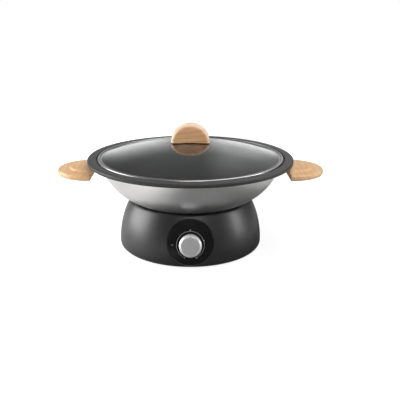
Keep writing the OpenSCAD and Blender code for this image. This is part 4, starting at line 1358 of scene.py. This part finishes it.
def studio_world(world, strength):
    """White to the camera and through glass. Gloss sees a bright band along the horizon behind the
    object, darker in its middle, a soft ceiling, a patch high on the right, a dim room in front
    and a light at each side; everything else gets an even soft light of the given strength."""
    world.use_nodes = True
    n = Nodes(world.node_tree)
    n.tree.nodes.clear()
    x, y, z = n.axes(n.node("ShaderNodeTexCoord", {}, {}, "Generated"))
    behind = (y.above(0.3, 0.85) * (1 - abs(z).above(0.05, 0.5)) * (1 - abs(x).above(0.2, 0.34))
              * (0.4 + 0.6 * abs(x).above(0.02, 0.12)))
    ceiling = z.above(0.0, 0.4) * (1 - 0.5 * (-x).above(0.15, 0.35))
    right = (x.above(0.04, 0.16) * (1 - 0.6 * x.above(0.17, 0.3))
             * z.above(0.2, 0.4) * (1 - z.above(0.5, 0.9)))
    horizon = 1 - abs(z).above(0.02, 0.42)
    front = horizon * (1 - y.above(-0.9, -0.5))
    sides = horizon * abs(x).above(0.75, 0.95)
    gloss = 0.06 + 0.98 * behind + 0.22 * ceiling + 0.32 * right + 0.09 * front + 0.45 * sides
    glossy = n.ray("Is Glossy Ray")
    light = glossy * gloss + (1 - glossy) * strength
    seen = n.in_plain_view()
    total = seen + (1 - seen) * light
    back = n.node("ShaderNodeBackground", {}, {"Color": (1, 1, 1), "Strength": total})
    output = n.tree.nodes.new("ShaderNodeOutputWorld")
    n.put(output.inputs["Surface"], back)


class WOK_OT_stage(bpy.types.Operator):
    """Makes the pale floor, the soft lights and the camera"""

    bl_idname = "wok.stage"
    bl_label = "Stage"

    def execute(self, context):
        scene = context.scene
        s = scene.wok_studio
        reach = 9000
        floor = join_sheets("floor", [Sheet([[(-reach, -reach, 0), (reach, -reach, 0)],
                                             [(-reach, reach, 0), (reach, reach, 0)]])])
        floor.data.materials.append(floor_paper())
        scene.world = bpy.data.worlds.new("studio")
        studio_world(scene.world, s.soft_light)
        # The lamps leave out the glass, which would mirror their hard edges.
        lit = all_but(bpy.data.objects["glass_dome"])
        for name, place, aim, size, power in (
                ("key_left", (-1.9, 0.2, 0.52), 0.09, (1.4, 1.1), 41),
                ("fill_right", (2.0, -0.22, 0.56), 0.08, (0.4, 1.0), 12.5),
                ("overhead", (0.9, 0.3, 1.8), 0.1, (1.2, 1.0), 16),
                ("front_high", (0.15, -1.4, 1.5), 0.1, (1.0, 0.7), 15.5)):
            lamp(name, place, (0, 0, aim), size, power, lit)
        camera = bpy.data.cameras.new("camera")
        camera.sensor_width = 36
        camera.lens = s.lens
        camera.shift_x, camera.shift_y = 0.0240, -0.0278
        eye = bpy.data.objects.new("camera", camera)
        scene.collection.objects.link(eye)
        away = Vector((0, -math.cos(s.elevation), math.sin(s.elevation)))
        eye.location = Vector((0, 0, 0.1)) + away * s.distance
        eye.rotation_euler = (-away).to_track_quat("-Z", "Y").to_euler()
        scene.camera = eye
        scene.view_settings.view_transform = "Standard"
        return {"FINISHED"}


# ---- Add-on ----

STEPS = (WOK_OT_base_shell, WOK_OT_control_panel, WOK_OT_dial, WOK_OT_seat, WOK_OT_heating,
         WOK_OT_underside, WOK_OT_pan, WOK_OT_handles, WOK_OT_lid_glass, WOK_OT_lid_band,
         WOK_OT_lid_knob, WOK_OT_stage)
SETTINGS = {"wok_base": WokBaseSettings, "wok_control": WokControlSettings,
            "wok_pan": WokPanSettings, "wok_lid": WokLidSettings, "wok_studio": WokStudioSettings}


class WOK_PT_panel(bpy.types.Panel):
    """Sidebar list of the wok's pieces and sizes"""

    bl_idname = "WOK_PT_panel"
    bl_label = "Electric wok"
    bl_space_type = "VIEW_3D"
    bl_region_type = "UI"
    bl_category = "Wok"

    def draw(self, context):
        column = self.layout.column()
        for step in STEPS:
            column.operator(step.bl_idname)
        for name, group in SETTINGS.items():
            box = self.layout.box()
            for key in group.__annotations__:
                box.prop(getattr(context.scene, name), key)


def register():
    """Adds the settings, operators and panel to Blender."""
    for cls in (*SETTINGS.values(), *STEPS, WOK_PT_panel):
        bpy.utils.register_class(cls)
    for name, group in SETTINGS.items():
        setattr(bpy.types.Scene, name, PointerProperty(type=group))


def unregister():
    """Takes them out again."""
    for name in SETTINGS:
        delattr(bpy.types.Scene, name)
    for cls in (WOK_PT_panel, *STEPS, *SETTINGS.values()):
        bpy.utils.unregister_class(cls)


def main():
    """Registers the add-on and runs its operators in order."""
    register()
    for step in STEPS:
        group, name = step.bl_idname.split(".")
        getattr(getattr(bpy.ops, group), name)()


if __name__ == "__main__":
    main()
